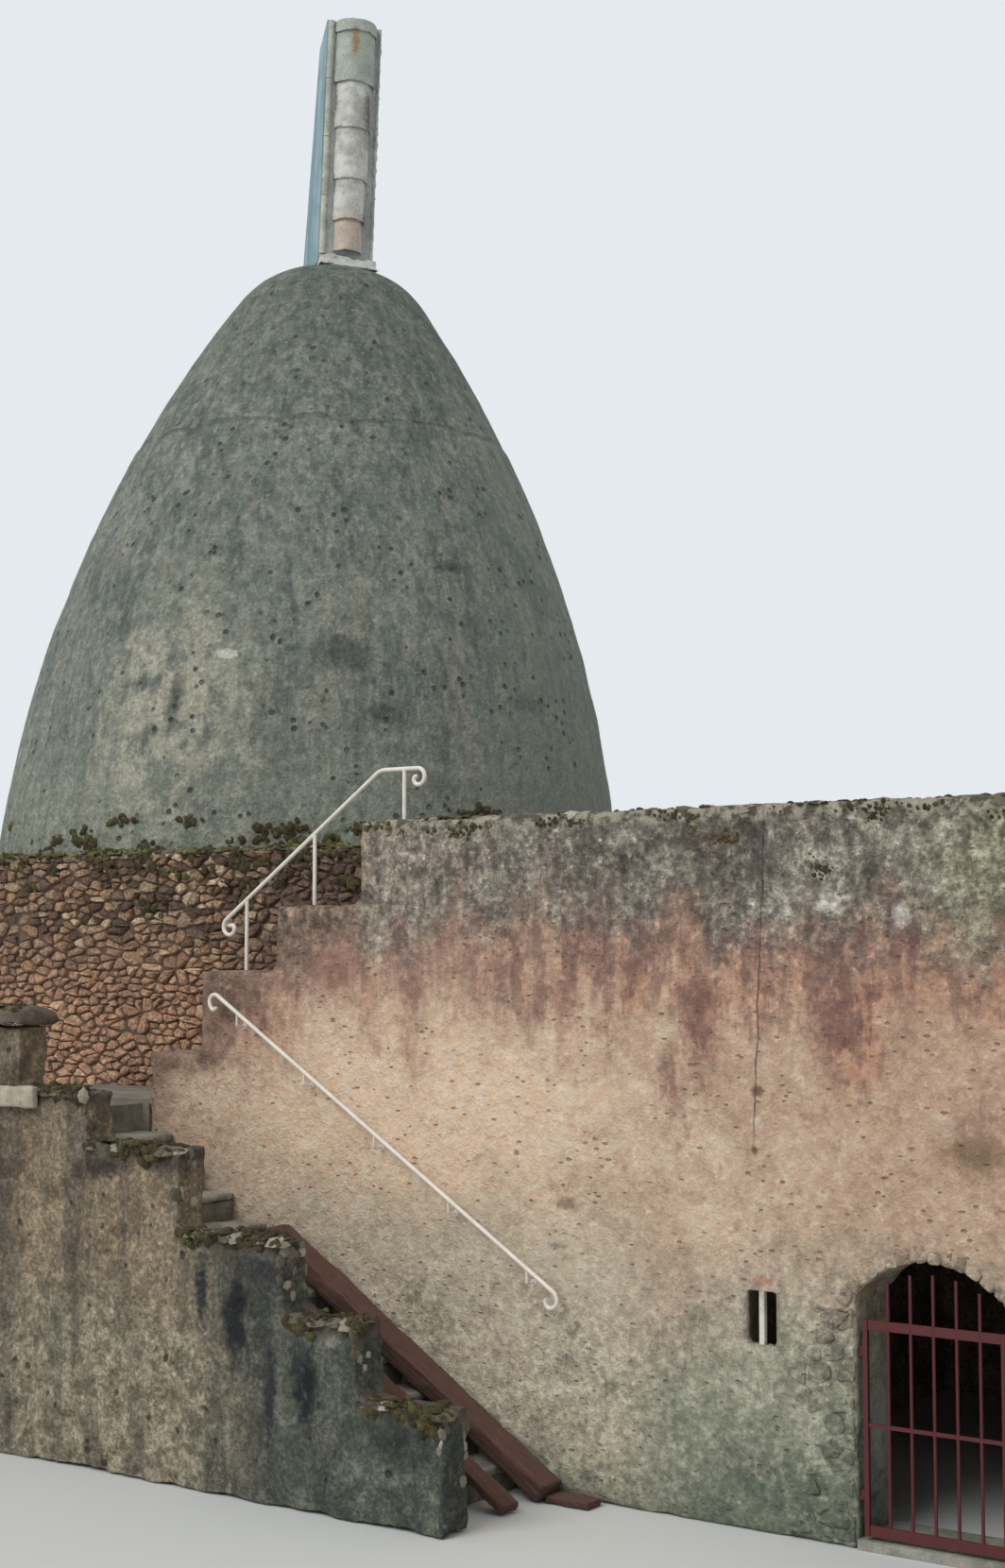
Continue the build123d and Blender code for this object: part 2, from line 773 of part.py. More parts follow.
# Gate: one leaf of bars in a frame, with two rings that drop over pins in the left jamb
hinge_x = door_left + hinge_gap
gate_y = front_y + gate_inset
ring_radius = pin_radius + pin_clearance + ring_wall
stile_left = hinge_x + pin_radius + pin_clearance + ring_wall / 2
stile_top = top_rail_height + top_rail
leaf_right = door_right - leaf_end_gap
bar_pitch = (leaf_right - stile_width - stile_left) / (bar_count - 1)
with BuildPart() as gate_leaf:
    for left in (stile_left, leaf_right - stile_width):
        with BuildSketch(Plane.XY.offset(gate_foot)):
            with Locations((left, gate_y)):
                Rectangle(stile_width, stile_width, align=(Align.MIN, Align.CENTER))
        extrude(amount=stile_top - gate_foot)
    for level, height in (
        (gate_foot, bottom_rail),
        (middle_rail_height, middle_rail),
        (top_rail_height, top_rail),
    ):
        with BuildSketch(Plane.XY.offset(level)):
            with Locations(((stile_left + leaf_right) / 2, gate_y)):
                Rectangle(leaf_right - stile_left - stile_width, rail_thickness)
        extrude(amount=height)
    for number in range(1, bar_count - 1):
        bar_x = stile_left + stile_width / 2 + number * bar_pitch
        with BuildSketch(Plane.XY.offset(gate_foot)):
            with Locations((bar_x, gate_y)):
                Circle(bar_radius)
        extrude(amount=arch_height_at(bar_x) - bar_arch_gap - gate_foot)
    for level in hinge_heights:
        with BuildSketch(Plane.XY.offset(level)):
            with Locations((hinge_x, gate_y)):
                Circle(ring_radius)
        extrude(amount=ring_height)
    for level in hinge_heights:
        with BuildSketch(Plane.XY.offset(level)):
            with Locations((hinge_x, gate_y)):
                Circle(pin_radius + pin_clearance)
        extrude(amount=ring_height, mode=Mode.SUBTRACT)
save(gate_leaf, "gate_leaf")

with BuildPart() as gate_pins:
    for level in hinge_heights:
        arm_level = level - pin_clearance - pin_radius
        with BuildSketch(Plane.XY.offset(arm_level - pin_radius)):
            with Locations((hinge_x, gate_y)):
                Circle(pin_radius)
        extrude(amount=2 * pin_radius + pin_clearance + ring_height)
        with BuildSketch(Plane.YZ.offset(door_left)):
            with Locations((gate_y, arm_level)):
                Circle(pin_radius)
        extrude(amount=hinge_gap)
save(gate_pins, "gate_pins")
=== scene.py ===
"""Weathered stonework of a windmill: render, rubble, moss, clay tiles, painted rails and gate."""
from itertools import product
from math import atan2, cos, pi, radians, sin

import bmesh
import bpy
import numpy as np
from bpy.props import FloatProperty, FloatVectorProperty, IntProperty, PointerProperty
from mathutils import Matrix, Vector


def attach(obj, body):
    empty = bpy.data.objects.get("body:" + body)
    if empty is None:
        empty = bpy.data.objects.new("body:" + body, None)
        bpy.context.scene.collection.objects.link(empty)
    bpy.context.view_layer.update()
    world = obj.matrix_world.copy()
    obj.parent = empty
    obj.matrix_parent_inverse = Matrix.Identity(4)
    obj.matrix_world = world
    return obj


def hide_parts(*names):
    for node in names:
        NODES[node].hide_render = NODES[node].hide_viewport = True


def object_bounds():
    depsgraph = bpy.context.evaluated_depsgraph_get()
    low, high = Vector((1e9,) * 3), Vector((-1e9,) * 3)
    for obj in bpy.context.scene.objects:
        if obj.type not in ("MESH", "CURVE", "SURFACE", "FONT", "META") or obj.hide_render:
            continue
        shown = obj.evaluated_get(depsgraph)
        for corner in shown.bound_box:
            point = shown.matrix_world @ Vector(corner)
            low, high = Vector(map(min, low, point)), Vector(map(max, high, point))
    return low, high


bl_info = {
    "name": "Windmill Stonework",
    "version": (1, 0, 0),
    "blender": (4, 5, 0),
    "location": "View3D > Sidebar > Stonework",
    "description": "Builds the weathered surfaces of a windmill's stonework round its solid parts",
    "category": "Object",
}

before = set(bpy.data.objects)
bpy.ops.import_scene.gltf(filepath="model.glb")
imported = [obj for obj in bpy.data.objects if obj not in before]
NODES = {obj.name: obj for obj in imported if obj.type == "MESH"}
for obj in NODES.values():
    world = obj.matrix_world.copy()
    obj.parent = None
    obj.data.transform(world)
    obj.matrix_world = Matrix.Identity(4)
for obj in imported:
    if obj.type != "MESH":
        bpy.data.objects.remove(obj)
cad_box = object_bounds()
EAST, NORTH, UP = np.eye(3)
FRONT_FACE, PARAPET_FACE, RUBBLE_FACE = -4.2, -5.3, -2.95
MOUND_SIDE, MOUND_TOP = 3.1, 3.74
FLANK_RINGS, CAP_RINGS, RIM_LEVEL = 165, 26, 7.30


def colour(name, value, description):
    """A colour property, in linear light."""
    return FloatVectorProperty(
        name=name, description=description, subtype="COLOR", size=3, min=0, max=1, default=value
    )


def plain(name, value, description, **kind):
    """A property that holds one number."""
    return FloatProperty(name=name, description=description, default=value, **kind)


def length(name, value, description):
    """A length property, in metres."""
    return plain(name, value, description, unit="LENGTH", subtype="DISTANCE")


def angle(name, degrees, description):
    """An angle property."""
    return plain(name, radians(degrees), description, subtype="ANGLE")


class ConeSizes(bpy.types.PropertyGroup):
    """Sizes of the cone's skin."""

    foot_radius: length("Foot radius", 2.68, "Radius of the cone where it stands on the mound")
    shoulder_radius: length("Shoulder radius", 0.837, "Radius where the flank ends and the cap begins")
    shoulder_height: length("Shoulder height", 4.94, "Height of the cap's edge over the mound")
    flank_radius: length("Flank radius", 10.46, "Radius of the long arc of the flank")
    cap_radius: length("Cap radius", 0.775, "Radius of the domed cap")
    foot_level: length("Foot level", 3.75, "Level of the mound's top")
    lean: angle("Lean", 1.8, "Tilt of the cone's axis")
    lean_direction: angle("Lean direction", 40.5, "Heading of the lean from +X")
    relief: length("Relief", 0.022, "How far the render's lumps stand out")
    around: IntProperty(name="Cells around", description="Mesh cells round the cone", default=360)


class WallSizes(bpy.types.PropertyGroup):
    """Sizes of the walls' rendered and rubble faces."""

    cell: length("Cell", 0.034, "Mesh size on the rendered walls")
    relief: length("Relief", 0.018, "How far the render's lumps stand out")
    stone_length: length("Stone length", 0.092, "Typical length of a rubble stone")
    stone_height: length("Stone height", 0.054, "Typical height of a rubble course")
    joint: length("Joint", 0.008, "Width of the joints between the rubble stones")
    joint_depth: length("Joint depth", 0.036, "Depth of the joints between the rubble stones")


class Colours(bpy.types.PropertyGroup):
    """Main colours of the stonework, in linear light."""

    cone: colour("Cone render", (0.160, 0.184, 0.162), "Grey render of the cone")
    wall_streak: colour("Wall's streaks", (0.25, 0.115, 0.092), "Purple-red streaks below the stained top")
    moss: colour("Moss", (0.075, 0.06, 0.02), "Olive-brown moss")
    gate: colour("Gate paint", (0.088, 0.009, 0.012), "Red paint of the gate")
    rails: colour("Rail paint", (0.80, 0.74, 0.67), "Cream paint of the handrails")


class StageSizes(bpy.types.PropertyGroup):
    """The camera's place and the lamps' strengths."""

    lens: plain("Lens", 49.88, "Focal length in millimetres on the long side")
    lamp: plain("Lamp", 1.6, "Strength of the large soft lamp")
    sky: plain("Sky", 0.62, "Strength of the light from all round")


# Random values and noise on points


def lump_noise(points, size, seed):
    """Smooth random values from -1 to 1, with lumps of about the given size in metres."""
    scaled = points / size
    cell = np.floor(scaled).astype(np.int64)
    part = scaled - cell
    part = part * part * (3 - 2 * part)
    total = np.zeros(len(points))
    factors, last = np.array((374761393, 668265263, 1440662683)), 1274126177
    for corner in product((0, 1), repeat=3):
        mixed = (cell + np.array(corner)) @ factors + seed * last
        mixed = (mixed ^ (mixed >> 13)) * last
        value = ((mixed ^ (mixed >> 16)) & 0xFFFF) / 32767.5 - 1
        total += value * np.where(corner, part, 1 - part).prod(axis=1)
    return total


def rough_noise(points, size, seed, octaves=3):
    """Lumps with smaller lumps on them."""
    total = sum(lump_noise(points, size / 2**i, seed + i) / 2**i for i in range(octaves))
    return total / (2 - 0.5 ** (octaves - 1))


# Meshes


def add_piece(name, mesh, finish, slot, replaced=(), body="masonry", smooth=True):
    """Puts a mesh into the scene as a piece of the windmill."""
    mesh.name = name
    piece = bpy.data.objects.new(name, mesh)
    bpy.context.scene.collection.objects.link(piece)
    mesh.materials.clear()
    for made in finish if isinstance(finish, (list, tuple)) else [finish]:
        mesh.materials.append(made)
    mesh.polygons.foreach_set("use_smooth", np.full(len(mesh.polygons), smooth))
    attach(piece, body)
    if replaced:
        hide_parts(*replaced)
    return piece


def mesh_of(verts, faces):
    """A mesh from lists of corners and faces."""
    mesh = bpy.data.meshes.new("piece")
    mesh.from_pydata(np.asarray(verts).tolist(), [], [list(map(int, face)) for face in faces])
    mesh.validate()
    mesh.update()
    return mesh


def points_of(mesh):
    """A mesh's corners as an array."""
    flat = np.empty(len(mesh.vertices) * 3)
    mesh.vertices.foreach_get("co", flat)
    return flat.reshape(-1, 3)


def set_points(mesh, points):
    """Moves a mesh's corners."""
    mesh.vertices.foreach_set("co", points.ravel())
    mesh.update()


def normals_of(mesh):
    """The outward direction at each corner."""
    flat = np.empty(len(mesh.vertices) * 3)
    mesh.vertex_normals.foreach_get("vector", flat)
    return flat.reshape(-1, 3)


def set_tone(mesh, values):
    """Stores one number a corner for the shaders."""
    layer = mesh.attributes.new("tone", "FLOAT", "POINT")
    layer.data.foreach_set("value", np.asarray(values, dtype=np.float32))


def even_skin(names, cell):
    """The surface of some nodes, joined and cut into cells of one size."""
    joined = bmesh.new()
    for name in names:
        joined.from_mesh(NODES[name].data)
    bmesh.ops.remove_doubles(joined, verts=joined.verts, dist=1e-4)
    source = bpy.data.meshes.new("source")
    joined.to_mesh(source)
    joined.free()
    holder = bpy.data.objects.new("source", source)
    bpy.context.scene.collection.objects.link(holder)
    remesh = holder.modifiers.new("even", "REMESH")
    remesh.mode = "VOXEL"
    remesh.voxel_size = cell
    bpy.context.view_layer.update()
    skin = bpy.data.meshes.new_from_object(holder.evaluated_get(bpy.context.evaluated_depsgraph_get()))
    bpy.data.objects.remove(holder)
    bpy.data.meshes.remove(source)
    return skin


def roughen(mesh, relief, size, seed, calm=(), calm_reach=0.12, sunk=0.35):
    """Pushes a skin in and out by noise, less so near the calm places, and never out of its own box."""
    points = points_of(mesh)
    low, high = points.min(axis=0), points.max(axis=0)
    push = relief * (rough_noise(points, size, seed) - sunk)
    for place in calm:
        near = np.linalg.norm(points - np.array(place), axis=1)
        push *= np.clip(near / calm_reach - 0.35, 0, 1)
    points += normals_of(mesh) * push[:, None]
    set_points(mesh, np.clip(points, low, high))
    return mesh


def square_hole(mesh, low, high, face, reach=0.04):
    """Draws a skin's rounded edges out to the edges of a rectangular hole through a wall."""
    points = points_of(mesh)
    x, z = points[:, 0], points[:, 2]
    gaps = np.stack([x - low[0], high[0] - x, z - low[1], high[1] - z], axis=1)
    side, gap = gaps.argmin(axis=1), gaps.min(axis=1)
    near = (gap > -reach) & (gap < 0.06) & (points[:, 1] < face + 0.06)
    for number, (axis, level) in enumerate(((0, low[0]), (0, high[0]), (2, low[1]), (2, high[1]))):
        points[near & (side == number), axis] = level
    points[near & (points[:, 1] < face + 0.03), 1] = face
    set_points(mesh, points)


def clip_outline(outline, normal, offset):
    """The part of an outline on the near side of a line."""
    kept = []
    for number, here in enumerate(outline):
        before = outline[number - 1]
        past = here[0] * normal[0] + here[1] * normal[1] - offset
        past_before = before[0] * normal[0] + before[1] * normal[1] - offset
        if (past <= 0) != (past_before <= 0):
            part = past_before / (past_before - past)
            kept.append(tuple(before[i] + (here[i] - before[i]) * part for i in (0, 1)))
        if past <= 0:
            kept.append(here)
    return kept


def stone_outlines(low, high, size, seed, missing=0.2):
    """Outlines of stones of mixed sizes that fill an upright rectangle from low to high."""
    pick = np.random.default_rng(seed)
    edge = [(high[i] - low[i]) / size[i] for i in (0, 1)]
    middles = {}
    for i, j in product(range(int(edge[0]) + 3), range(int(edge[1]) + 3)):
        if pick.random() > missing:
            x = i - 1 + 0.5 * (j % 2) + pick.uniform(-0.38, 0.38)
            middles[i, j] = (x, j - 1 + pick.uniform(-0.32, 0.32))
    outlines = []
    for (i, j), (x, z) in middles.items():
        outline = [(x - 2, z - 2), (x + 2, z - 2), (x + 2, z + 2), (x - 2, z + 2)]
        for normal, offset in (((-1, 0), 0), ((1, 0), edge[0]), ((0, -1), 0), ((0, 1), edge[1])):
            outline = clip_outline(outline, normal, offset)
        for a, b in product((0, -1, 1, -2, 2, -3, 3), repeat=2):
            other = middles.get((i + a, j + b))
            if other and (a or b) and len(outline) > 2:
                offset = (other[0] ** 2 + other[1] ** 2 - x * x - z * z) / 2
                outline = clip_outline(outline, (other[0] - x, other[1] - z), offset)
        if len(outline) > 2:
            outlines.append(np.array(outline) * size + low)
    return outlines


def stones(outlines, along, out, seed, joint, depth, proud=0.0, tilt=0.12, limit=0.05):
    """Rough stones on an upright face, one for each outline. Returns corners, faces and tones."""
    pick = np.random.default_rng(seed)
    verts, faces, tones, start = [], [], [], 0
    for outline in outlines:
        after = np.roll(outline, -1, axis=0)
        near, far = outline * 0.83 + after * 0.17, outline * 0.17 + after * 0.83
        ring = np.stack([near, far], axis=1).reshape(-1, 2)
        middle = ring.mean(axis=0)
        spoke = ring - middle
        reach = np.linalg.norm(spoke, axis=1)[:, None]
        if reach.min() < joint * 1.4:
            continue
        count = len(ring)
        spoke = spoke * (1 - joint * pick.uniform(0.5, 1.2) / reach) * pick.uniform(0.87, 1.04, reach.shape)
        base = proud - depth * 0.7 * pick.random() ** 1.5
        lean = pick.uniform(-tilt, tilt, 2)
        rings = []
        levels = (1, -1.2 * depth, 0), (1, base - 0.4 * depth, 0.004), (0.74, base, 0.007)
        for scale, level, rough in levels:
            flat = spoke * scale
            lift = level + (flat @ lean + pick.uniform(-rough, rough, count)) * (rough > 0)
            rings.append(np.column_stack([middle + flat, np.minimum(lift, limit)]))
        rings.append([[*middle, min(base + pick.uniform(-0.003, 0.006), limit)]])
        verts.append(np.concatenate(rings))
        here, after = np.arange(count), (np.arange(count) + 1) % count
        for inner in (0, 1):
            ring_start = start + inner * count
            steps = (here, after, count + after, count + here)
            faces += np.column_stack([ring_start + step for step in steps]).tolist()
        top = start + 2 * count
        faces += np.column_stack([top + here, top + after, np.full(count, top + count)]).tolist()
        tones.append(np.full(3 * count + 1, pick.random()))
        start += 3 * count + 1
    verts = np.concatenate(verts)
    points = verts[:, :1] * along + verts[:, 1:2] * UP + verts[:, 2:] * out
    if np.dot(np.cross(along, UP), out) < 0:
        faces = [face[::-1] for face in faces]
    return points, faces, np.concatenate(tones)


def sheet_grid(low, high, along, out, cell, seed, depth):
    """A lumpy upright mortar face behind the stones."""
    wide = max(2, int((high[0] - low[0]) / cell))
    tall = max(2, int((high[1] - low[1]) / cell))
    across, upright = np.linspace(low[0], high[0], wide + 1), np.linspace(low[1], high[1], tall + 1)
    u, v = np.meshgrid(across, upright, indexing="ij")
    points = u[..., None] * along + v[..., None] * UP
    noise = rough_noise(points.reshape(-1, 3), 0.12, seed).reshape(u.shape)
    points = points - (depth * (1 + 0.25 * noise))[..., None] * out
    index = np.arange(u.size).reshape(u.shape)
    corners = index[:-1, :-1], index[1:, :-1], index[1:, 1:], index[:-1, 1:]
    faces = np.stack(corners, axis=-1).reshape(-1, 4)
    if np.dot(np.cross(along, UP), out) < 0:
        faces = faces[:, ::-1]
    return points.reshape(-1, 3), faces


def merged(parts):
    """Joins lists of corners and faces into one."""
    verts, faces, start = [], [], 0
    for part_verts, part_faces in parts:
        verts.append(part_verts)
        faces += [[corner + start for corner in face] for face in part_faces]
        start += len(part_verts)
    return np.concatenate(verts), faces


def cushions(places, normals, radii, heights, seed, around=7):
    """Low lumpy domes, such as moss cushions or stones, on surfaces that face along the normals."""
    pick = np.random.default_rng(seed)
    places, normals, radii, heights = map(np.asarray, (places, normals, radii, heights))
    count = len(places)
    first = np.cross(normals, (0.31, 0.87, 0.39))
    first /= np.linalg.norm(first, axis=1)[:, None]
    second = np.cross(normals, first)
    turn = np.linspace(0, 2 * pi, around, endpoint=False)[None, :] + pick.uniform(0, 2 * pi, (count, 1))
    squash = pick.uniform(0.6, 1.0, (count, 1))
    rings = []
    for reach, rise in ((1.0, 0.0), (0.74, 0.7)):
        wobble = 1 + pick.uniform(-0.25, 0.25, (count, around))
        x = np.cos(turn) * radii[:, None] * reach * wobble
        y = np.sin(turn) * radii[:, None] * reach * wobble * squash
        z = rise * heights[:, None] * (1 + pick.uniform(-0.2, 0.2, (count, around)))
        ways = (x, first), (y, second), (z, normals)
        spread = sum(part[..., None] * way[:, None] for part, way in ways)
        rings.append(spread + places[:, None, :])
    rings.append((places + normals * heights[:, None])[:, None, :])
    verts = np.concatenate(rings, axis=1)
    per = 2 * around + 1
    sides = [(k, (k + 1) % around, around + (k + 1) % around, around + k) for k in range(around)]
    tops = [(around + k, around + (k + 1) % around, 2 * around) for k in range(around)]
    starts = (np.arange(count) * per)[:, None, None]
    faces = (np.array(sides)[None] + starts).reshape(-1, 4).tolist()
    faces += (np.array(tops)[None] + starts).reshape(-1, 3).tolist()
    return verts.reshape(-1, 3), faces, np.repeat(pick.random(count), per)


class Growth:
    """Collects small domes that grow or lie on surfaces, and makes one piece of them."""

    def __init__(self, seed):
        self.pick = np.random.default_rng(seed)
        self.seed = seed
        self.places, self.normals, self.radii, self.heights = [], [], [], []

    def add(self, place, normal, radius, height):
        normal = np.array(normal, dtype=float)
        self.places.append(np.array(place) - normal / np.linalg.norm(normal) * 0.006)
        self.normals.append(normal / np.linalg.norm(normal))
        self.radii.append(radius)
        self.heights.append(height)

    def clump(self, place, normal, spread, count, tall, size=(0.016, 0.036)):
        """A heap of domes, highest at its middle. spread is along the surface and up or across it."""
        normal = np.array(normal, dtype=float)
        side = np.cross(normal, UP) if abs(normal[2]) < 0.7 else EAST
        side = side / np.linalg.norm(side)
        other = np.cross(side, normal)
        for _ in range(count):
            a, b = self.pick.normal(0, 0.5, 2)
            lift = max(0.0, 1 - a * a - b * b) * tall * self.pick.uniform(0.3, 0.9)
            where = np.array(place) + side * a * spread[0] + other * b * spread[1] + normal * lift
            radius = self.pick.uniform(*size)
            self.add(where, normal, radius, radius * self.pick.uniform(0.3, 0.75))

    def build(self, name, finish, slot, smooth=True):
        verts, faces, tones = cushions(self.places, self.normals, self.radii, self.heights, self.seed)
        low, high = (np.array(corner) for corner in cad_box)
        margin = 0.001
        mesh = mesh_of(np.clip(verts, low + margin, high - margin), faces)
        set_tone(mesh, tones)
        return add_piece(name, mesh, finish, slot, smooth=smooth)


# Finishes


class Value:
    """An output of a node. Arithmetic on it adds Math nodes to its finish."""

    def __init__(self, finish, link):
        self.finish, self.link = finish, link

    def __add__(self, other):
        return self.finish.math("ADD", self, other)

    def __sub__(self, other):
        return self.finish.math("SUBTRACT", self, other)

    def __mul__(self, other):
        return self.finish.math("MULTIPLY", self, other)


class Finish:
    """A material, or the sky, built up from nodes. base is the colour that each new layer goes on."""

    def __init__(self, name, owner=None):
        self.owner = owner or bpy.data.materials.new(name)
        self.owner.use_nodes = True
        self.tree = self.owner.node_tree
        self.tree.nodes.clear()
        self.place = self.node("ShaderNodeTexCoord", output="Object")
        axes = [self.node("ShaderNodeSeparateXYZ", {0: self.place}, axis) for axis in "XYZ"]
        self.x, self.y, self.z = axes
        self.base = None

    def node(self, kind, inputs=None, output=0, **settings):
        """Adds a node, sets its settings and inputs, and returns one of its outputs."""
        made = self.tree.nodes.new(kind)
        for key, value in settings.items():
            setattr(made, key, value)
        for key, value in (inputs or {}).items():
            if isinstance(value, Value):
                self.tree.links.new(value.link, made.inputs[key])
            elif hasattr(value, "__len__"):
                want = len(made.inputs[key].default_value)
                made.inputs[key].default_value = (*value, 1)[:want]
            else:
                made.inputs[key].default_value = value
        return Value(self, made.outputs[output])

    def math(self, operation, *values):
        return self.node("ShaderNodeMath", dict(enumerate(values)), operation=operation)

    def vector(self, operation, *values, output=0):
        return self.node("ShaderNodeVectorMath", dict(enumerate(values)), output, operation=operation)

    def flow(self, x, y, z):
        """A place made of three values, which streaks() takes."""
        return self.node("ShaderNodeCombineXYZ", {0: x, 1: y, 2: z})

    def streaks(self, place, scale, detail, rough=0.5):
        """Noise from 0 to 1 at a place that may be squeezed or stretched."""
        inputs = {"Vector": place, "Scale": scale, "Detail": detail, "Roughness": rough}
        return self.node("ShaderNodeTexNoise", inputs)

    def noise(self, size, detail=4, rough=0.55, stretch=(1, 1, 1), shift=0.0):
        """Noise from 0 to 1 with patches of about the given size in metres, stretched along the axes."""
        place = self.vector("MULTIPLY_ADD", self.place, tuple(1 / s for s in stretch), (shift,) * 3)
        return self.streaks(place, 1 / size, detail, rough)

    def cells(self, size, stretch=(1, 1, 1)):
        """Distance from the middles of cells of about the given size in metres."""
        place = self.vector("MULTIPLY", self.place, tuple(1 / s for s in stretch))
        return self.node("ShaderNodeTexVoronoi", {"Vector": place, "Scale": 1 / size}, "Distance")

    def step(self, value, start, end):
        """0 below start and 1 above end, smoothly; start may be above end."""
        inputs = {0: value, 1: start, 2: end}
        return self.node("ShaderNodeMapRange", inputs, interpolation_type="SMOOTHSTEP")

    def grain(self, size, rough=0.7, contrast=0.17):
        """Even-spread noise from 0 to 1 for fine grain."""
        return self.step(self.noise(size, 5, rough), 0.5 - contrast, 0.5 + contrast)

    def spot(self, centre, reach, soft=0.5):
        """1 inside a round or oval place and 0 outside it."""
        away = self.vector("DIVIDE", self.vector("SUBTRACT", self.place, centre), reach)
        away = self.vector("LENGTH", away, output="Value")
        return self.step(away + (self.noise(min(reach) * 0.6, 3) - 0.5) * 1.1, 1.0, soft)

    def facing_up(self, start=0.45, end=0.8):
        """1 on surfaces that face up."""
        normal = self.node("ShaderNodeNewGeometry", output="Normal")
        return self.step(self.node("ShaderNodeSeparateXYZ", {0: normal}, "Z"), start, end)

    def tone(self):
        """The number stored on each corner of a piece."""
        return self.node("ShaderNodeAttribute", output="Fac", attribute_name="tone")

    def ramp(self, *stops):
        """The colour for a piece's tone. The stops at 0 and 1 come first."""
        made = self.node("ShaderNodeValToRGB", {0: self.tone()}, "Color")
        held = made.link.node.color_ramp.elements
        for number, (position, shade) in enumerate(stops):
            stop = held[number] if number < 2 else held.new(position)
            stop.position, stop.color = position, (*shade, 1)
        return made

    def mix(self, mask, first, second):
        """The first colour where the mask is 0 and the second where it is 1."""
        return self.node("ShaderNodeMix", {0: mask, 6: first, 7: second}, 2, data_type="RGBA")

    def blend(self, value, start, end, first, second, amount=1):
        """From the first colour towards the second as a value goes from start to end."""
        mask = self.step(value, start, end)
        return self.mix(mask if amount == 1 else mask * amount, first, second)

    def shade(self, tone, first, amount):
        """A colour made darker where tone is 0 and lighter where it is 1."""
        inputs = {0: amount, 6: first, 7: self.node("ShaderNodeCombineColor", {0: tone, 1: tone, 2: tone})}
        return self.node("ShaderNodeMix", inputs, 2, data_type="RGBA", blend_type="OVERLAY")

    def lay(self, mask, shade):
        """Lays a colour on the base where the mask is 1."""
        self.base = self.mix(mask, self.base, shade)

    def wash(self, *rows):
        """Lays colours on the base. A row holds a value, its start and end, an amount and a colour."""
        for value, start, end, amount, shade in rows:
            self.base = self.blend(value, start, end, self.base, shade, amount)

    def grade(self, tone, amount):
        """Makes the base darker where tone is 0 and lighter where it is 1."""
        self.base = self.shade(tone, self.base, amount)

    def moss(self, amount, size=0.12, start=0.45, end=0.62):
        """Lays moss on the base where amount and noise are high, and returns its mask."""
        patch = self.step(self.noise(size, 5, 0.65) + amount - 0.5, start, end)
        dark = tuple(0.6 * part for part in bpy.context.scene.colours.moss)
        self.lay(patch, self.mix(self.grain(size * 0.35), dark, (0.14, 0.125, 0.035)))
        return patch

    def end(self, rough, height=None, strength=0.6, distance=0.01):
        """Joins the base, roughness and height into the shader, and returns the material."""
        inputs = {"Base Color": self.base, "Roughness": rough}
        if height is not None:
            bump = {"Strength": strength, "Distance": distance, "Height": height}
            inputs["Normal"] = self.node("ShaderNodeBump", bump)
        return self.give_out("ShaderNodeOutputMaterial", self.node("ShaderNodeBsdfPrincipled", inputs))

    def give_out(self, kind, shader):
        self.tree.links.new(shader.link, self.tree.nodes.new(kind).inputs["Surface"])
        return self.owner


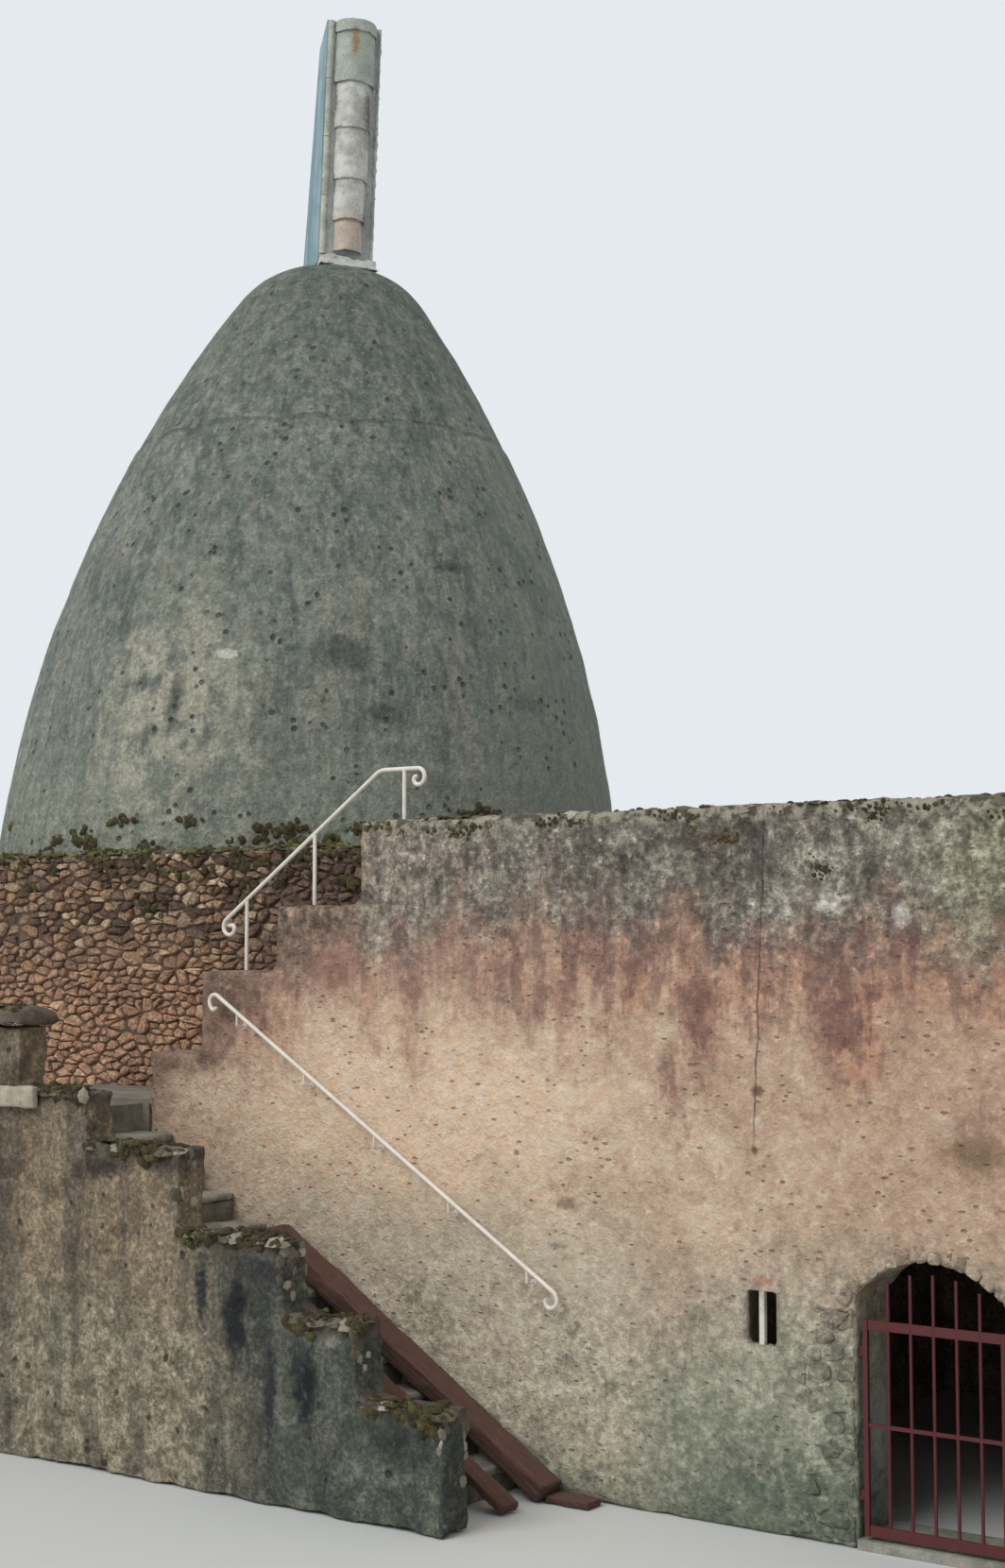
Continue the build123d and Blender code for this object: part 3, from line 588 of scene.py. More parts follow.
def cone_finish():
    """Grey render with streaks, pits and a paler beige patch low on one side; painted light on the side
    towards the camera's right and a painted shade line at the rim.
    """
    made = Finish("cone_render")
    step, noise = made.step, made.noise
    flow = made.flow(made.x, made.y, made.z * 0.07)
    kinds = (5.5, 6, 0.65), (17, 5, 0.6), (2.6, 3, 0.5)
    streak, drips, wide = (made.streaks(flow, *kind) for kind in kinds)
    grey = bpy.context.scene.colours.cone
    made.base = made.blend(noise(0.9, 5, 0.6), 0.36, 0.64, grey, (0.205, 0.235, 0.195))
    made.wash(
        (wide, 0.54, 0.66, 0.55, (0.26, 0.25, 0.195)),
        (wide, 0.47, 0.36, 0.5, (0.095, 0.115, 0.1)),
        (streak, 0.5, 0.62, 0.75, (0.25, 0.255, 0.21)),
        (streak, 0.48, 0.36, 0.7, (0.088, 0.106, 0.092)),
        (drips, 0.52, 0.64, 0.55, (0.29, 0.28, 0.235)),
        (drips, 0.47, 0.36, 0.5, (0.08, 0.096, 0.085)),
        (made.z, 7.2, 8.8, 0.5, (0.1, 0.125, 0.108)),
    )
    warm = made.spot((0.68, -2.35, 4.85), (0.95, 1.0, 1.25), 0.25)
    warm = warm * step(noise(0.2, 5) + (streak - 0.5) * 0.6, 0.36, 0.56)
    made.lay(warm * 0.9, (0.42, 0.4, 0.315))
    made.wash((made.z, 5.2, 3.9, 0.42, (0.29, 0.305, 0.245)))
    for centre, reach in (
        ((1.75, -1.65, 5.3), (0.3, 0.3, 0.2)),
        ((2.02, -1.49, 4.84), (0.22, 0.2, 0.12)),
        ((1.36, -1.82, 5.68), (0.04, 0.05, 0.11)),
        ((1.41, -1.92, 5.35), (0.07, 0.07, 0.04)),
        ((0.65, -2.39, 4.95), (0.09, 0.2, 0.42)),
        ((2.49, -0.26, 5.0), (0.12, 0.3, 0.1)),
        ((2.08, -0.72, 6.08), (0.14, 0.3, 0.08)),
    ):
        made.lay(made.spot(centre, reach, 0.3) * 0.8, (0.055, 0.066, 0.06))
    chip = made.spot((0.98, -2.17, 5.31), (0.11, 0.14, 0.05), 0.5) + (noise(0.035, 4, 0.7) - 0.5) * 1.7
    made.wash((chip, 0.45, 0.6, 0.9, (0.62, 0.62, 0.56)))
    grain, lumps = made.grain(0.03, 0.72), noise(0.09, 6, 0.68)
    made.grade(grain, 0.26)
    made.grade(step(lumps, 0.35, 0.65), 0.24)
    # Painted light: the first row below paints the cone lighter towards the camera's right, where it looks
    # lit.
    made.wash(
        (made.x * 0.81 + made.y * 0.58, 1.0, 2.2, 0.4, (0.26, 0.29, 0.245)),
        (made.z, 7.8, 6.4, 0.035, (0.5, 0.56, 0.47)),
    )
    rim = made.z + (noise(0.5, 4) - 0.5) * 0.22
    # Painted shade: a dark broken line along the ledge at the rim, where it is shaded; it also sinks the
    # bump there.
    rim_shade_line = step(made.math("ABSOLUTE", rim - (RIM_LEVEL + 0.04)), 0.03, 0.008)
    rim_shade_line = rim_shade_line * step(noise(0.3, 4, shift=8.0), 0.44, 0.56)
    made.lay(rim_shade_line * 0.45, (0.06, 0.068, 0.06))
    pits = step(made.cells(0.11) + (lumps - 0.5) * 0.3, 0.24, 0.12)
    pits = pits * step(noise(0.35, 2), 0.45, 0.6)
    made.lay(pits * 0.85, (0.045, 0.052, 0.046))
    made.wash((noise(0.05, 3, 0.6, shift=9.0), 0.66, 0.72, 0.7, (0.36, 0.36, 0.31)))
    moss = made.moss(step(made.z, 4.15, 3.75) * 0.34, 0.1, 0.5, 0.6)
    height = lumps * 1.4 + grain * 0.2 - pits * 1.2 - rim_shade_line * 0.7 + moss * 0.4
    return made.end(0.92, height, 1.0, 0.025)


def wall_finish(name="wall_render", stony=False):
    """Peach render with a grey stained top, purple-red streaks below it and a pale greenish foot that
    darkens to the ground, partly with painted shade.
    """
    made = Finish(name)
    step, noise, blend, spot = made.step, made.noise, made.blend, made.spot
    purple = bpy.context.scene.colours.wall_streak
    flow = made.flow(made.x + made.y, made.y * 0.3, made.z * 0.22)
    streak, drips = made.streaks(flow, 2.6, 6, 0.62), made.streaks(flow, 10, 5, 0.62)
    patch, mottle = noise(0.55, 6, 0.62), noise(0.15, 6, 0.7)
    blotch, fleck = noise(0.28, 6, 0.7, shift=5.0), noise(0.055, 4, 0.65, shift=3.0)
    grain = made.grain(0.034, 0.72)
    made.base = blend(patch, 0.36, 0.64, (0.55, 0.385, 0.27), (0.71, 0.535, 0.395))
    made.wash(
        (made.x, 6.2, 7.6, 0.75, (0.54, 0.36, 0.25)),
        (mottle, 0.52, 0.66, 0.6, (0.68, 0.55, 0.42)),
        (mottle, 0.46, 0.33, 0.6, (0.37, 0.225, 0.15)),
    )
    made.lay(spot((4.3, FRONT_FACE, 2.1), (1.9, 0.6, 0.95), 0.2) * 0.9, (0.86, 0.655, 0.47))
    # Towards the ground the render turns greener and darker, reaching higher near the doorway; this
    # darkening is partly damp and weeds and partly painted shade.
    foot = made.z + (patch - 0.5) * 0.9 + (mottle - 0.5) * 0.5 - step(made.x, 6.0, 6.8) * 0.32
    made.wash((foot, 1.5, 0.8, 0.85, (0.4, 0.35, 0.265)), (foot, 1.0, 0.4, 0.75, (0.285, 0.315, 0.235)))
    pale = step(made.x, 6.0, 6.8) * step(made.x, 7.12, 7.0)
    pale = pale * step(foot, 1.2, 0.9) * step(foot, 0.1, 0.55)
    made.lay(pale * step(mottle, 0.36, 0.56) * 0.45, (0.5, 0.49, 0.375))
    bare = step(made.x, 6.2, 5.7) * step(foot, 1.8, 1.2) * step(foot, -0.3, 0.2)
    made.lay(bare * step(mottle, 0.26, 0.46) * 0.85, (0.6, 0.53, 0.4))
    made.wash((foot, 0.45, -0.1, 0.75, (0.12, 0.15, 0.108)))
    damp = step(blotch, 0.53, 0.64) * step(foot, 1.35, 0.7)
    made.lay(damp * 0.55, (0.13, 0.145, 0.105))
    lichen = step(noise(0.11, 5, 0.7, shift=7.0), 0.56, 0.66) * step(foot, 1.3, 0.9)
    made.lay(lichen * 0.5, (0.46, 0.44, 0.36))
    rose = blend(drips + (mottle - 0.5), 0.38, 0.6, purple, (0.54, 0.285, 0.19))
    rose = blend(made.x, 5.6, 4.6, rose, (0.62, 0.42, 0.31), 0.3)
    made.wash((made.z + (streak - 0.5) * 2.5 + (blotch - 0.5) * 1.1, 2.25, 3.1, 0.88, rose))
    for x, z, wide, tall, amount in (
        (6.34, 2.68, 0.17, 0.46, 0.9),
        (6.16, 2.32, 0.13, 0.28, 0.75),
        (5.13, 2.95, 0.08, 0.3, 0.85),
        (3.74, 2.95, 0.32, 0.32, 0.7),
        (4.33, 3.0, 0.14, 0.3, 0.6),
        (5.45, 2.75, 0.1, 0.28, 0.5),
        (7.12, 2.95, 0.16, 0.3, 0.6),
        (7.57, 2.68, 0.12, 0.3, 0.35),
        (7.95, 2.22, 0.2, 0.2, 0.5),
    ):
        streaky = spot((x, FRONT_FACE, z), (wide, 0.5, tall), 0.2)
        made.lay(streaky * step(drips + (mottle - 0.5) * 0.8, 0.34, 0.52) * amount, purple)
    top = made.z + (streak - 0.5) * 1.1 + (drips - 0.5) * 0.5 + (blotch - 0.5) * 0.8
    stained = step(top, 2.82, 3.42)
    violet = step(top, 2.45, 2.85) * step(drips + (mottle - 0.5) * 0.6, 0.58, 0.42)
    made.lay(violet * (step(made.x, 4.4, 5.4) * 0.35 + 0.15), (0.22, 0.12, 0.1))
    grey = blend(blotch, 0.36, 0.64, (0.125, 0.118, 0.098), (0.26, 0.243, 0.195))
    grey = blend(mottle, 0.52, 0.66, grey, (0.29, 0.265, 0.215), 0.55)
    grey = blend(mottle, 0.46, 0.34, grey, (0.085, 0.072, 0.066), 0.6)
    grey = blend(fleck, 0.6, 0.67, grey, (0.5, 0.48, 0.41), 0.75)
    grey = made.shade(step(noise(0.7, 4, stretch=(1, 1, 2.2), shift=11.0), 0.36, 0.64), grey, 0.3)
    grey = blend(drips + (mottle - 0.5) * 0.4, 0.46, 0.36, grey, (0.105, 0.075, 0.072), 0.5)
    made.lay(stained * 0.94, grey)
    pale = step(made.x + (blotch - 0.5) * 2, 5.4, 4.4) * step(mottle, 0.42, 0.6)
    made.lay(pale * stained * 0.5, (0.42, 0.35, 0.27))
    green = blend(mottle, 0.4, 0.6, (0.2, 0.195, 0.115), (0.33, 0.31, 0.21))
    made.lay(step(made.x + (blotch - 0.5) * 1.2, 7.5, 8.1) * stained * 0.7, green)
    edge = made.z - made.x * 0.69 - 0.68 + (blotch - 0.5) * 1.0
    brown = blend(mottle, 0.4, 0.6, (0.13, 0.08, 0.062), (0.27, 0.175, 0.125))
    made.lay(step(edge, -0.42, 0.05) * step(made.x, 4.15, 3.8) * 0.85, brown)
    for x, z, wide, tall, shade in (
        (7.15, 3.29, 0.13, 0.08, (0.5, 0.48, 0.42)),
        (7.55, 3.22, 0.07, 0.09, (0.62, 0.58, 0.52)),
        (6.87, 3.24, 0.06, 0.05, (0.42, 0.4, 0.35)),
        (7.79, 3.62, 0.1, 0.1, (0.42, 0.4, 0.3)),
        (7.38, 3.46, 0.07, 0.1, (0.05, 0.055, 0.035)),
        (5.48, 1.62, 0.11, 0.06, (0.27, 0.2, 0.14)),
        (5.42, 1.38, 0.09, 0.02, (0.3, 0.27, 0.22)),
        (7.95, 2.02, 0.28, 0.14, (0.25, 0.16, 0.1)),
        (6.7, 2.3, 0.05, 0.05, (0.15, 0.055, 0.04)),
        (6.68, 1.98, 0.03, 0.03, (0.2, 0.08, 0.06)),
    ):
        made.lay(spot((x, FRONT_FACE, z), (wide, 0.3, tall), 0.3) * 0.85, shade)
    made.lay(spot((6.71, -4.17, 1.3), (0.11, 0.3, 0.05), 0.3) * 0.85, (0.46, 0.26, 0.19))
    from_crack = made.x - 6.6 - made.z * 0.04 + (noise(0.3, 4) - 0.5) * 0.07
    crack = step(made.math("ABSOLUTE", from_crack), 0.006, 0.002)
    crack = crack * step(made.z, 1.85, 2.3) * step(made.y, -4.05, -4.15)
    made.lay(crack * step(mottle, 0.36, 0.5) * 0.6, (0.09, 0.065, 0.055))
    contrast = stained * 0.34 + step(foot, 1.4, 0.7) * 0.14 + 0.12
    made.grade(grain, contrast)
    made.grade(step(noise(0.075, 5, 0.7, shift=2.0), 0.36, 0.64), contrast * 0.7 + 0.05)
    pits = step(made.cells(0.075, (1.4, 1.4, 0.6)) + (fleck - 0.5) * 0.5, 0.17, 0.08)
    pits = pits * step(noise(0.3, 3), 0.4, 0.56)
    made.lay(pits * 0.62, (0.17, 0.105, 0.075))
    crest = blend(noise(0.07, 4, 0.6), 0.42, 0.58, (0.075, 0.068, 0.045), (0.4, 0.37, 0.29))
    made.wash((made.z + (mottle - 0.5) * 0.12, 3.72, 3.77, 0.85, crest))
    moss = made.moss(step(made.z, 3.6, 3.8) * 0.16, 0.13, 0.52, 0.62)
    reveal = spot((7.3, -3.84, 0.62), (0.4, 0.33, 0.85), 0.06)
    made.lay(reveal * step(mottle, 0.32, 0.5) * 0.8, (0.5, 0.5, 0.44))
    if stony:
        made.grade(made.tone(), 0.35)
        made.wash((fleck, 0.46, 0.6, 0.55, (0.11, 0.125, 0.09)))
    height = mottle * 1.5 + fleck * 0.7 + grain * 0.25 - pits * 0.8 - crack + moss * 0.4
    return made.end(0.93, height, 1.0, 0.022)


def rubble_finish():
    """Brown stones, each of its own shade, mossy towards the top and tan lower down."""
    made = Finish("rubble_stones")
    step, noise = made.step, made.noise
    made.base = made.ramp(
        (0.0, (0.075, 0.044, 0.03)),
        (1.0, (0.74, 0.55, 0.37)),
        (0.3, (0.21, 0.125, 0.08)),
        (0.55, (0.44, 0.27, 0.155)),
        (0.8, (0.36, 0.26, 0.175)),
    )
    made.wash(
        (noise(0.8, 4), 0.4, 0.6, 0.42, (0.15, 0.092, 0.068)),
        (made.z + (noise(0.5, 4) - 0.5) * 0.6, 3.3, 2.6, 0.54, (0.72, 0.415, 0.26)),
    )
    front = step(made.y, -2.6, -2.7)
    # Purple-brown towards the right of the front face, near the wall: partly old render, partly painted
    # shade.
    dark = step(made.x + (noise(0.4, 4) - 0.5), 1.5, 2.4) * front
    made.lay(dark * 0.72, (0.125, 0.074, 0.058))
    low = step(made.z + (noise(0.3, 4) - 0.5) * 0.6, 2.35, 2.1) * step(made.x, 0.2, 1.2)
    made.lay(low * front * 0.6, (0.13, 0.08, 0.06))
    made.wash((noise(0.13, 5, 0.7, shift=6.0), 0.52, 0.62, 0.5, (0.13, 0.092, 0.066)))
    grain = made.grain(0.022)
    made.grade(grain, 0.45)
    moss = made.moss(step(made.z, 2.9, 3.65) * 0.25, 0.16, 0.52, 0.62)
    return made.end(0.95, noise(0.035, 5, 0.7) + grain * 0.3 + moss * 0.5, 0.9, 0.014)


def mortar_finish():
    """Dark recessed mortar and earth."""
    made = Finish("mortar")
    made.base = made.mix(made.noise(0.09, 5), (0.055, 0.038, 0.026), (0.15, 0.11, 0.08))
    made.moss(made.step(made.z, 3.0, 3.6) * 0.2, 0.12, 0.5, 0.6)
    return made.end(0.97, made.noise(0.03, 5), 0.8, 0.01)


def coping_finish():
    """Grey-brown mortar under moss."""
    made = Finish("mossy_coping")
    made.base = made.mix(made.noise(0.12, 5), (0.1, 0.085, 0.06), (0.27, 0.25, 0.2))
    moss = made.moss(made.facing_up(0.3, 0.8) * 0.14, 0.14, 0.46, 0.58)
    return made.end(0.95, made.noise(0.03, 5, 0.7) + moss * 0.8, 0.9, 0.012)


def moss_finish():
    """Cushions of moss, dark brown to yellow-green."""
    made = Finish("moss_cushions")
    step, noise = made.step, made.noise
    made.base = made.ramp(
        (0.0, (0.035, 0.028, 0.012)),
        (1.0, (0.15, 0.15, 0.045)),
        (0.5, (0.075, 0.055, 0.022)),
        (0.85, (0.105, 0.09, 0.028)),
    )
    made.wash((noise(0.5, 4), 0.42, 0.6, 0.6, (0.06, 0.045, 0.02)))
    rust = step(made.y, -3.8, -3.9) * step(made.z, 3.5, 3.6)
    rust = rust * step(noise(0.35, 4, shift=12.0), 0.5, 0.6)
    made.lay(rust * 0.6, (0.19, 0.115, 0.03))
    rim = step(made.z, 3.82, 3.79) * step(made.z, 3.73, 3.75) * step(made.y, -2.8, -2.88)
    rim = rim * step(made.y, -3.2, -3.1) * step(noise(0.2, 4, shift=4.0), 0.42, 0.56)
    made.lay(rim * 0.7, (0.19, 0.21, 0.06))
    grain = made.grain(0.012)
    made.grade(grain, 0.45)
    return made.end(0.98, noise(0.014, 4, 0.8) + grain * 0.3, 1.0, 0.012)


def edge_stone_finish():
    """Whitish and olive stones bedded along the tops."""
    made = Finish("edge_stones")
    made.base = made.ramp(
        (0.0, (0.1, 0.085, 0.055)),
        (1.0, (0.42, 0.38, 0.3)),
        (0.5, (0.16, 0.145, 0.105)),
        (0.8, (0.25, 0.23, 0.18)),
    )
    made.grade(made.noise(0.018, 4, 0.7), 0.6)
    moss = made.moss(0.1, 0.09, 0.52, 0.62)
    return made.end(0.95, made.noise(0.03, 5, 0.7) + moss * 0.4, 0.8, 0.01)


PARAPET_STEPS = (
    (4.87, 5.44, 0.65),
    (4.34, 4.85, 1.05),
    (3.55, 4.32, 1.45),
    (2.79, 3.53, 1.91),
    (2.2, 2.76, 2.21),
)


def parapet_finish():
    """Render with dark mossy stains that run down, brownest on the upper blocks."""
    made = Finish("parapet_render")
    step, noise, blend = made.step, made.noise, made.blend
    drips = made.streaks(made.flow(made.x, made.y * 0.4, made.z * 0.16), 4.6, 7, 0.66)
    patch, mottle = noise(0.3, 6, 0.68), noise(0.11, 6, 0.72)
    blotch, upper = noise(0.17, 6, 0.7, shift=4.0), step(made.x, 4.4, 3.3)
    green = blend(patch, 0.38, 0.62, (0.075, 0.086, 0.068), (0.155, 0.165, 0.13))
    warm = blend(patch, 0.38, 0.62, (0.19, 0.145, 0.092), (0.36, 0.285, 0.185))
    made.base = made.mix(upper, green, warm)
    pale = blend(mottle, 0.4, 0.6, (0.23, 0.215, 0.145), (0.4, 0.355, 0.255))
    low = step(made.z + (patch - 0.5) * 1.0, 1.4, 0.7)
    made.lay(low * step(made.x + (patch - 0.5) * 0.8, 4.2, 3.6) * 0.8, pale)
    wet = step(drips + (mottle - 0.5) * 0.5, 0.5, 0.6) * (upper * -0.25 + 0.75)
    made.lay(wet, (0.036, 0.04, 0.038))
    made.wash((blotch, 0.54, 0.62, 0.4, made.mix(upper, (0.22, 0.235, 0.19), (0.33, 0.275, 0.21))))
    for x, z, wide, tall, shade in (
        (3.98, 1.0, 0.15, 0.5, (0.01, 0.013, 0.016)),
        (3.72, 1.1, 0.07, 0.3, (0.025, 0.028, 0.03)),
        (4.49, 0.68, 0.14, 0.42, (0.009, 0.012, 0.016)),
        (4.24, 0.6, 0.06, 0.4, (0.03, 0.033, 0.035)),
        (4.2, 1.26, 0.2, 0.12, (0.05, 0.045, 0.045)),
        (5.1, 0.45, 0.3, 0.2, (0.045, 0.055, 0.045)),
        (2.9, 1.78, 0.3, 0.14, (0.06, 0.045, 0.04)),
        (3.4, 1.82, 0.28, 0.1, (0.09, 0.065, 0.05)),
        (1.6, 1.6, 0.3, 0.3, (0.07, 0.06, 0.05)),
        (4.68, 0.94, 0.07, 0.06, (0.3, 0.29, 0.24)),
    ):
        stain = made.spot((x, PARAPET_FACE, z), (wide, 0.4, tall), 0.2)
        made.lay(stain * step(drips + (mottle - 0.5) * 0.6, 0.31, 0.42), shade)
    pier = step(made.x, 1.3, 1.15) * step(made.z, 2.2, 2.35)
    made.lay(pier * step(mottle, 0.3, 0.5) * 0.75, (0.125, 0.085, 0.066))
    grain = made.grain(0.028)
    made.grade(grain, 0.42)
    made.grade(step(mottle, 0.34, 0.66), 0.3)
    course = blend(mottle, 0.4, 0.6, (0.05, 0.04, 0.03), (0.15, 0.125, 0.095))
    for left, right, level in PARAPET_STEPS:
        under = step(made.z + (mottle - 0.5) * 0.2, level - 0.13, level - 0.06)
        under = under * step(made.x, left - 0.01, left + 0.01)
        made.lay(under * step(made.x, right + 0.03, right + 0.02) * 0.92, course)
    pits = step(made.cells(0.12) + (blotch - 0.5) * 0.9, 0.2, 0.08)
    pits = pits * step(noise(0.3, 3), 0.45, 0.58)
    made.lay(pits * 0.8, (0.02, 0.018, 0.015))
    moss = made.moss(made.facing_up(0.2, 0.7) * 0.3 + upper * 0.03, 0.1, 0.53, 0.62)
    return made.end(0.94, mottle * 1.6 + grain * 0.3 - pits + moss * 0.5, 1.0, 0.028)


def stone_finish(name, dark, light, mossy=0.0, bump=0.8):
    """Rough stone between two shades, with some moss on top."""
    made = Finish(name)
    noise = made.noise
    made.base = made.blend(noise(0.18, 6, 0.65), 0.34, 0.66, dark, light)
    made.wash((noise(0.05, 4), 0.6, 0.72, 0.6, tuple(c * 0.35 for c in dark)))
    speck = noise(0.015, 4, 0.7)
    made.grade(speck, 0.5)
    height = noise(0.05, 6, 0.7) + speck * 0.3
    if mossy:
        height = height + made.moss(made.facing_up(0.3, 0.8) * mossy, 0.11, 0.5, 0.6) * 0.5
    return made.end(0.93, height, bump, 0.012)


def terrace_finish():
    """Grey-brown screed with moss on the terrace, and plaster in the room below it."""
    made = Finish("terrace_floor")
    mottle, grain = made.noise(0.25, 6, 0.68), made.grain(0.03)
    plaster = made.blend(mottle, 0.36, 0.64, (0.22, 0.17, 0.13), (0.42, 0.34, 0.27))
    floor = made.blend(mottle, 0.36, 0.64, (0.13, 0.115, 0.09), (0.27, 0.245, 0.2))
    floor = made.blend(made.noise(0.9, 5), 0.5, 0.62, floor, (0.12, 0.12, 0.085), 0.5)
    made.base = made.mix(made.facing_up(0.3, 0.7), plaster, floor)
    made.grade(grain, 0.35)
    moss = made.moss(made.facing_up(0.3, 0.8) * 0.1, 0.2, 0.52, 0.62)
    return made.end(0.94, mottle + grain * 0.25 + moss * 0.5, 0.9, 0.015)


def paint_finish(name, paint, worn, rust, wear):
    """Old paint on iron, worn through to rust in places."""
    made = Finish(name)
    made.base = made.blend(made.noise(0.09, 4), 0.4, 0.62, paint, worn, 0.5)
    rusty = made.step(made.noise(0.035, 5, 0.7), wear, wear + 0.05)
    made.lay(rusty, rust)
    return made.end(made.step(rusty, 0, 1) * 0.3 + 0.55, made.noise(0.01, 4) - rusty * 0.5, 0.4, 0.002)


def timber_finish():
    """Dark red-brown weathered wood with grain along the slope, painted lighter on its upward faces as if
    lit from above.
    """
    made = Finish("old_timber")
    slope = 0.6296
    along, across = made.x - made.z * slope, made.z + made.x * slope
    grain = made.streaks(made.flow(along * 0.5, made.y * 9, across * 9), 6, 7, 0.65)
    made.base = made.blend(grain, 0.32, 0.68, (0.04, 0.02, 0.016), (0.115, 0.054, 0.04))
    # Painted light: upward faces are painted lighter than the shaded sides.
    made.lay(made.facing_up(0.5, 0.8) * 0.4, (0.16, 0.08, 0.058))
    splits = made.step(grain, 0.36, 0.3)
    made.lay(splits * 0.8, (0.02, 0.01, 0.008))
    return made.end(0.85, grain - splits * 0.5, 0.7, 0.008)


def tile_finish():
    """Grey-green lichened clay tiles, pinker at the bottom of the column, with rust near the top and dark
    gaps at the column's edges, partly painted shadow.
    """
    made = Finish("clay_tiles")
    noise = made.noise
    cloud = noise(0.16, 4, 0.6)
    made.base = made.blend(cloud, 0.36, 0.64, (0.4, 0.41, 0.38), (0.66, 0.66, 0.62))
    made.wash(
        (noise(0.13, 4, 0.6, shift=3.0), 0.5, 0.64, 0.6, (0.6, 0.55, 0.46)),
        (made.z, 9.52, 9.35, 0.6, (0.52, 0.39, 0.3)),
        (made.z, 10.6, 10.7, 0.6, (0.31, 0.38, 0.33)),
    )
    # Dark gaps beside the tile column: partly dark mortar, partly painted shadow.
    for centre, reach in (
        ((0.565, 0.05, 10.35), (0.05, 0.1, 0.44)),
        ((0.34, -0.17, 10.5), (0.045, 0.07, 0.24)),
        ((0.33, -0.16, 9.75), (0.03, 0.06, 0.14)),
        ((0.5, 0.06, 9.45), (0.045, 0.09, 0.18)),
    ):
        gap = made.spot(centre, reach, 0.1) * made.step(noise(0.09, 5, 0.65, shift=9.0), 0.32, 0.44)
        made.lay(gap * 0.85, (0.085, 0.075, 0.06))
    made.lay(made.spot((0.535, -0.112, 11.0), (0.05, 0.07, 0.2), 0.1) * 0.9, (0.33, 0.15, 0.055))
    made.wash((noise(0.05, 5, shift=5.0), 0.62, 0.74, 0.45, (0.19, 0.18, 0.16)))
    grain = made.grain(0.014)
    made.grade(grain, 0.16)
    return made.end(0.9, cloud + noise(0.025, 5, 0.7) * 0.6 + grain * 0.15, 0.8, 0.006)


def sheet_finish():
    """Blue-grey side with a greener band and streaks."""
    made = Finish("grey_sheet")
    streak = made.streaks(made.flow(made.x, made.y, made.z * 0.1), 9, 5)
    made.base = made.blend(streak, 0.35, 0.65, (0.175, 0.275, 0.325), (0.3, 0.42, 0.465))
    made.wash((made.noise(0.2, 4), 0.5, 0.65, 0.4, (0.17, 0.24, 0.215)))
    return made.end(0.85, made.noise(0.03, 4), 0.5, 0.005)


# Pieces


def give(finish, *names):
    """Puts a finish on nodes that keep their own shape."""
    for name in names:
        node = NODES[name]
        if not node.material_slots:
            node.data.materials.append(finish)
        node.material_slots[0].link = "OBJECT"
        node.material_slots[0].material = finish


def rough_pieces(*rows):
    """Pieces that are a node's surface, cut into even cells and roughened, in place of the node.

    A row holds the piece's name, the node, cell size, relief, lump size, seed, finish and slot.
    """
    for name, node, cell, relief, lump, seed, finish, slot in rows:
        add_piece(name, roughen(even_skin([node], cell), relief, lump, seed), finish, slot, (node,))


def cone_profile(size):
    """Radii and heights up the cone's flank and cap, and the direction of its leaning axis."""
    up = np.array((cos(size.lean_direction), sin(size.lean_direction), 0)) * sin(size.lean)
    up = up + UP * cos(size.lean)
    first = np.array((size.foot_radius, 0.0))
    last = np.array((size.shoulder_radius, size.shoulder_height))
    chord = last - first
    reach = np.linalg.norm(chord)
    inward = np.array((-chord[1], chord[0])) / reach
    centre = (first + last) / 2 + inward * (size.flank_radius**2 - reach**2 / 4) ** 0.5
    start, stop = (atan2(*(point - centre)[::-1]) for point in (first, last))
    turns = np.linspace(start, stop, FLANK_RINGS)
    flank = [centre + size.flank_radius * np.array((cos(a), sin(a))) for a in turns]
    middle = last - size.cap_radius * np.array((cos(stop), sin(stop)))
    turns = np.linspace(stop, pi / 2, CAP_RINGS)[1:]
    cap = [middle + size.cap_radius * np.array((cos(a), sin(a))) for a in turns]
    return np.array([(first[0] + 0.012, -0.16), *flank, *(point for point in cap if point[0] > 0.03)]), up


class Builder:
    """Part of every operator below: runs its build method once."""

    def execute(self, context):
        self.build(context.scene)
        return {"FINISHED"}


class BuildCone(Builder, bpy.types.Operator):
    """Skin of the cone and its cap, with lumps, hollows and a ragged foot"""

    bl_idname = "stonework.build_cone"
    bl_label = "Cone"

    def build(self, scene):
        size = scene.cone_sizes
        profile, up = cone_profile(size)
        turn = np.linspace(0, 2 * pi, size.around, endpoint=False)
        spokes = np.stack([np.cos(turn), np.sin(turn), 0 * turn], axis=1)
        side = spokes - np.outer(spokes @ up, up)
        side /= np.linalg.norm(side, axis=1)[:, None]
        radii, heights = profile[:, None, 0, None], profile[:, None, 1, None]
        points = UP * size.foot_level + heights * up + radii * side[None]
        rows = points.shape[:2]
        flat = points.reshape(-1, 3)
        fade = np.clip((profile[:, 0] - 0.25) / 0.5, 0.15, 1)[:, None] * np.ones((1, size.around))
        push = rough_noise(flat, 0.95, 3, 2) * 0.55 + rough_noise(flat, 0.24, 9, 3) * 0.45
        bands = lump_noise(flat * np.array((0.45, 0.45, 1.0)), 0.33, 21)
        push = (push + 0.25 * bands) * size.relief - 0.25 * size.relief
        push -= 0.02 * np.clip(rough_noise(flat, 0.16, 40, 2) - 0.5, 0, 1)
        rim = flat[:, 2] + 0.06 * lump_noise(flat, 0.5, 12)
        push -= 0.014 * np.clip((rim - RIM_LEVEL) / 0.05, 0, 1)
        flat = flat + np.tile(side, (rows[0], 1)) * (push * fade.ravel())[:, None]
        flat[:, 2] = np.maximum(flat[:, 2], size.foot_level - 0.02)
        index = np.arange(rows[0] * rows[1]).reshape(rows)
        after = np.roll(index, -1, axis=1)
        faces = np.stack([index[:-1], after[:-1], after[1:], index[1:]], axis=-1).reshape(-1, 4).tolist()
        faces += [index[-1].tolist(), index[0][::-1].tolist()]
        replaced = ("cone_shell", "cone_cap", "cone_foot")
        add_piece("cone_skin", mesh_of(flat, faces), cone_finish(), "cone_render", replaced)


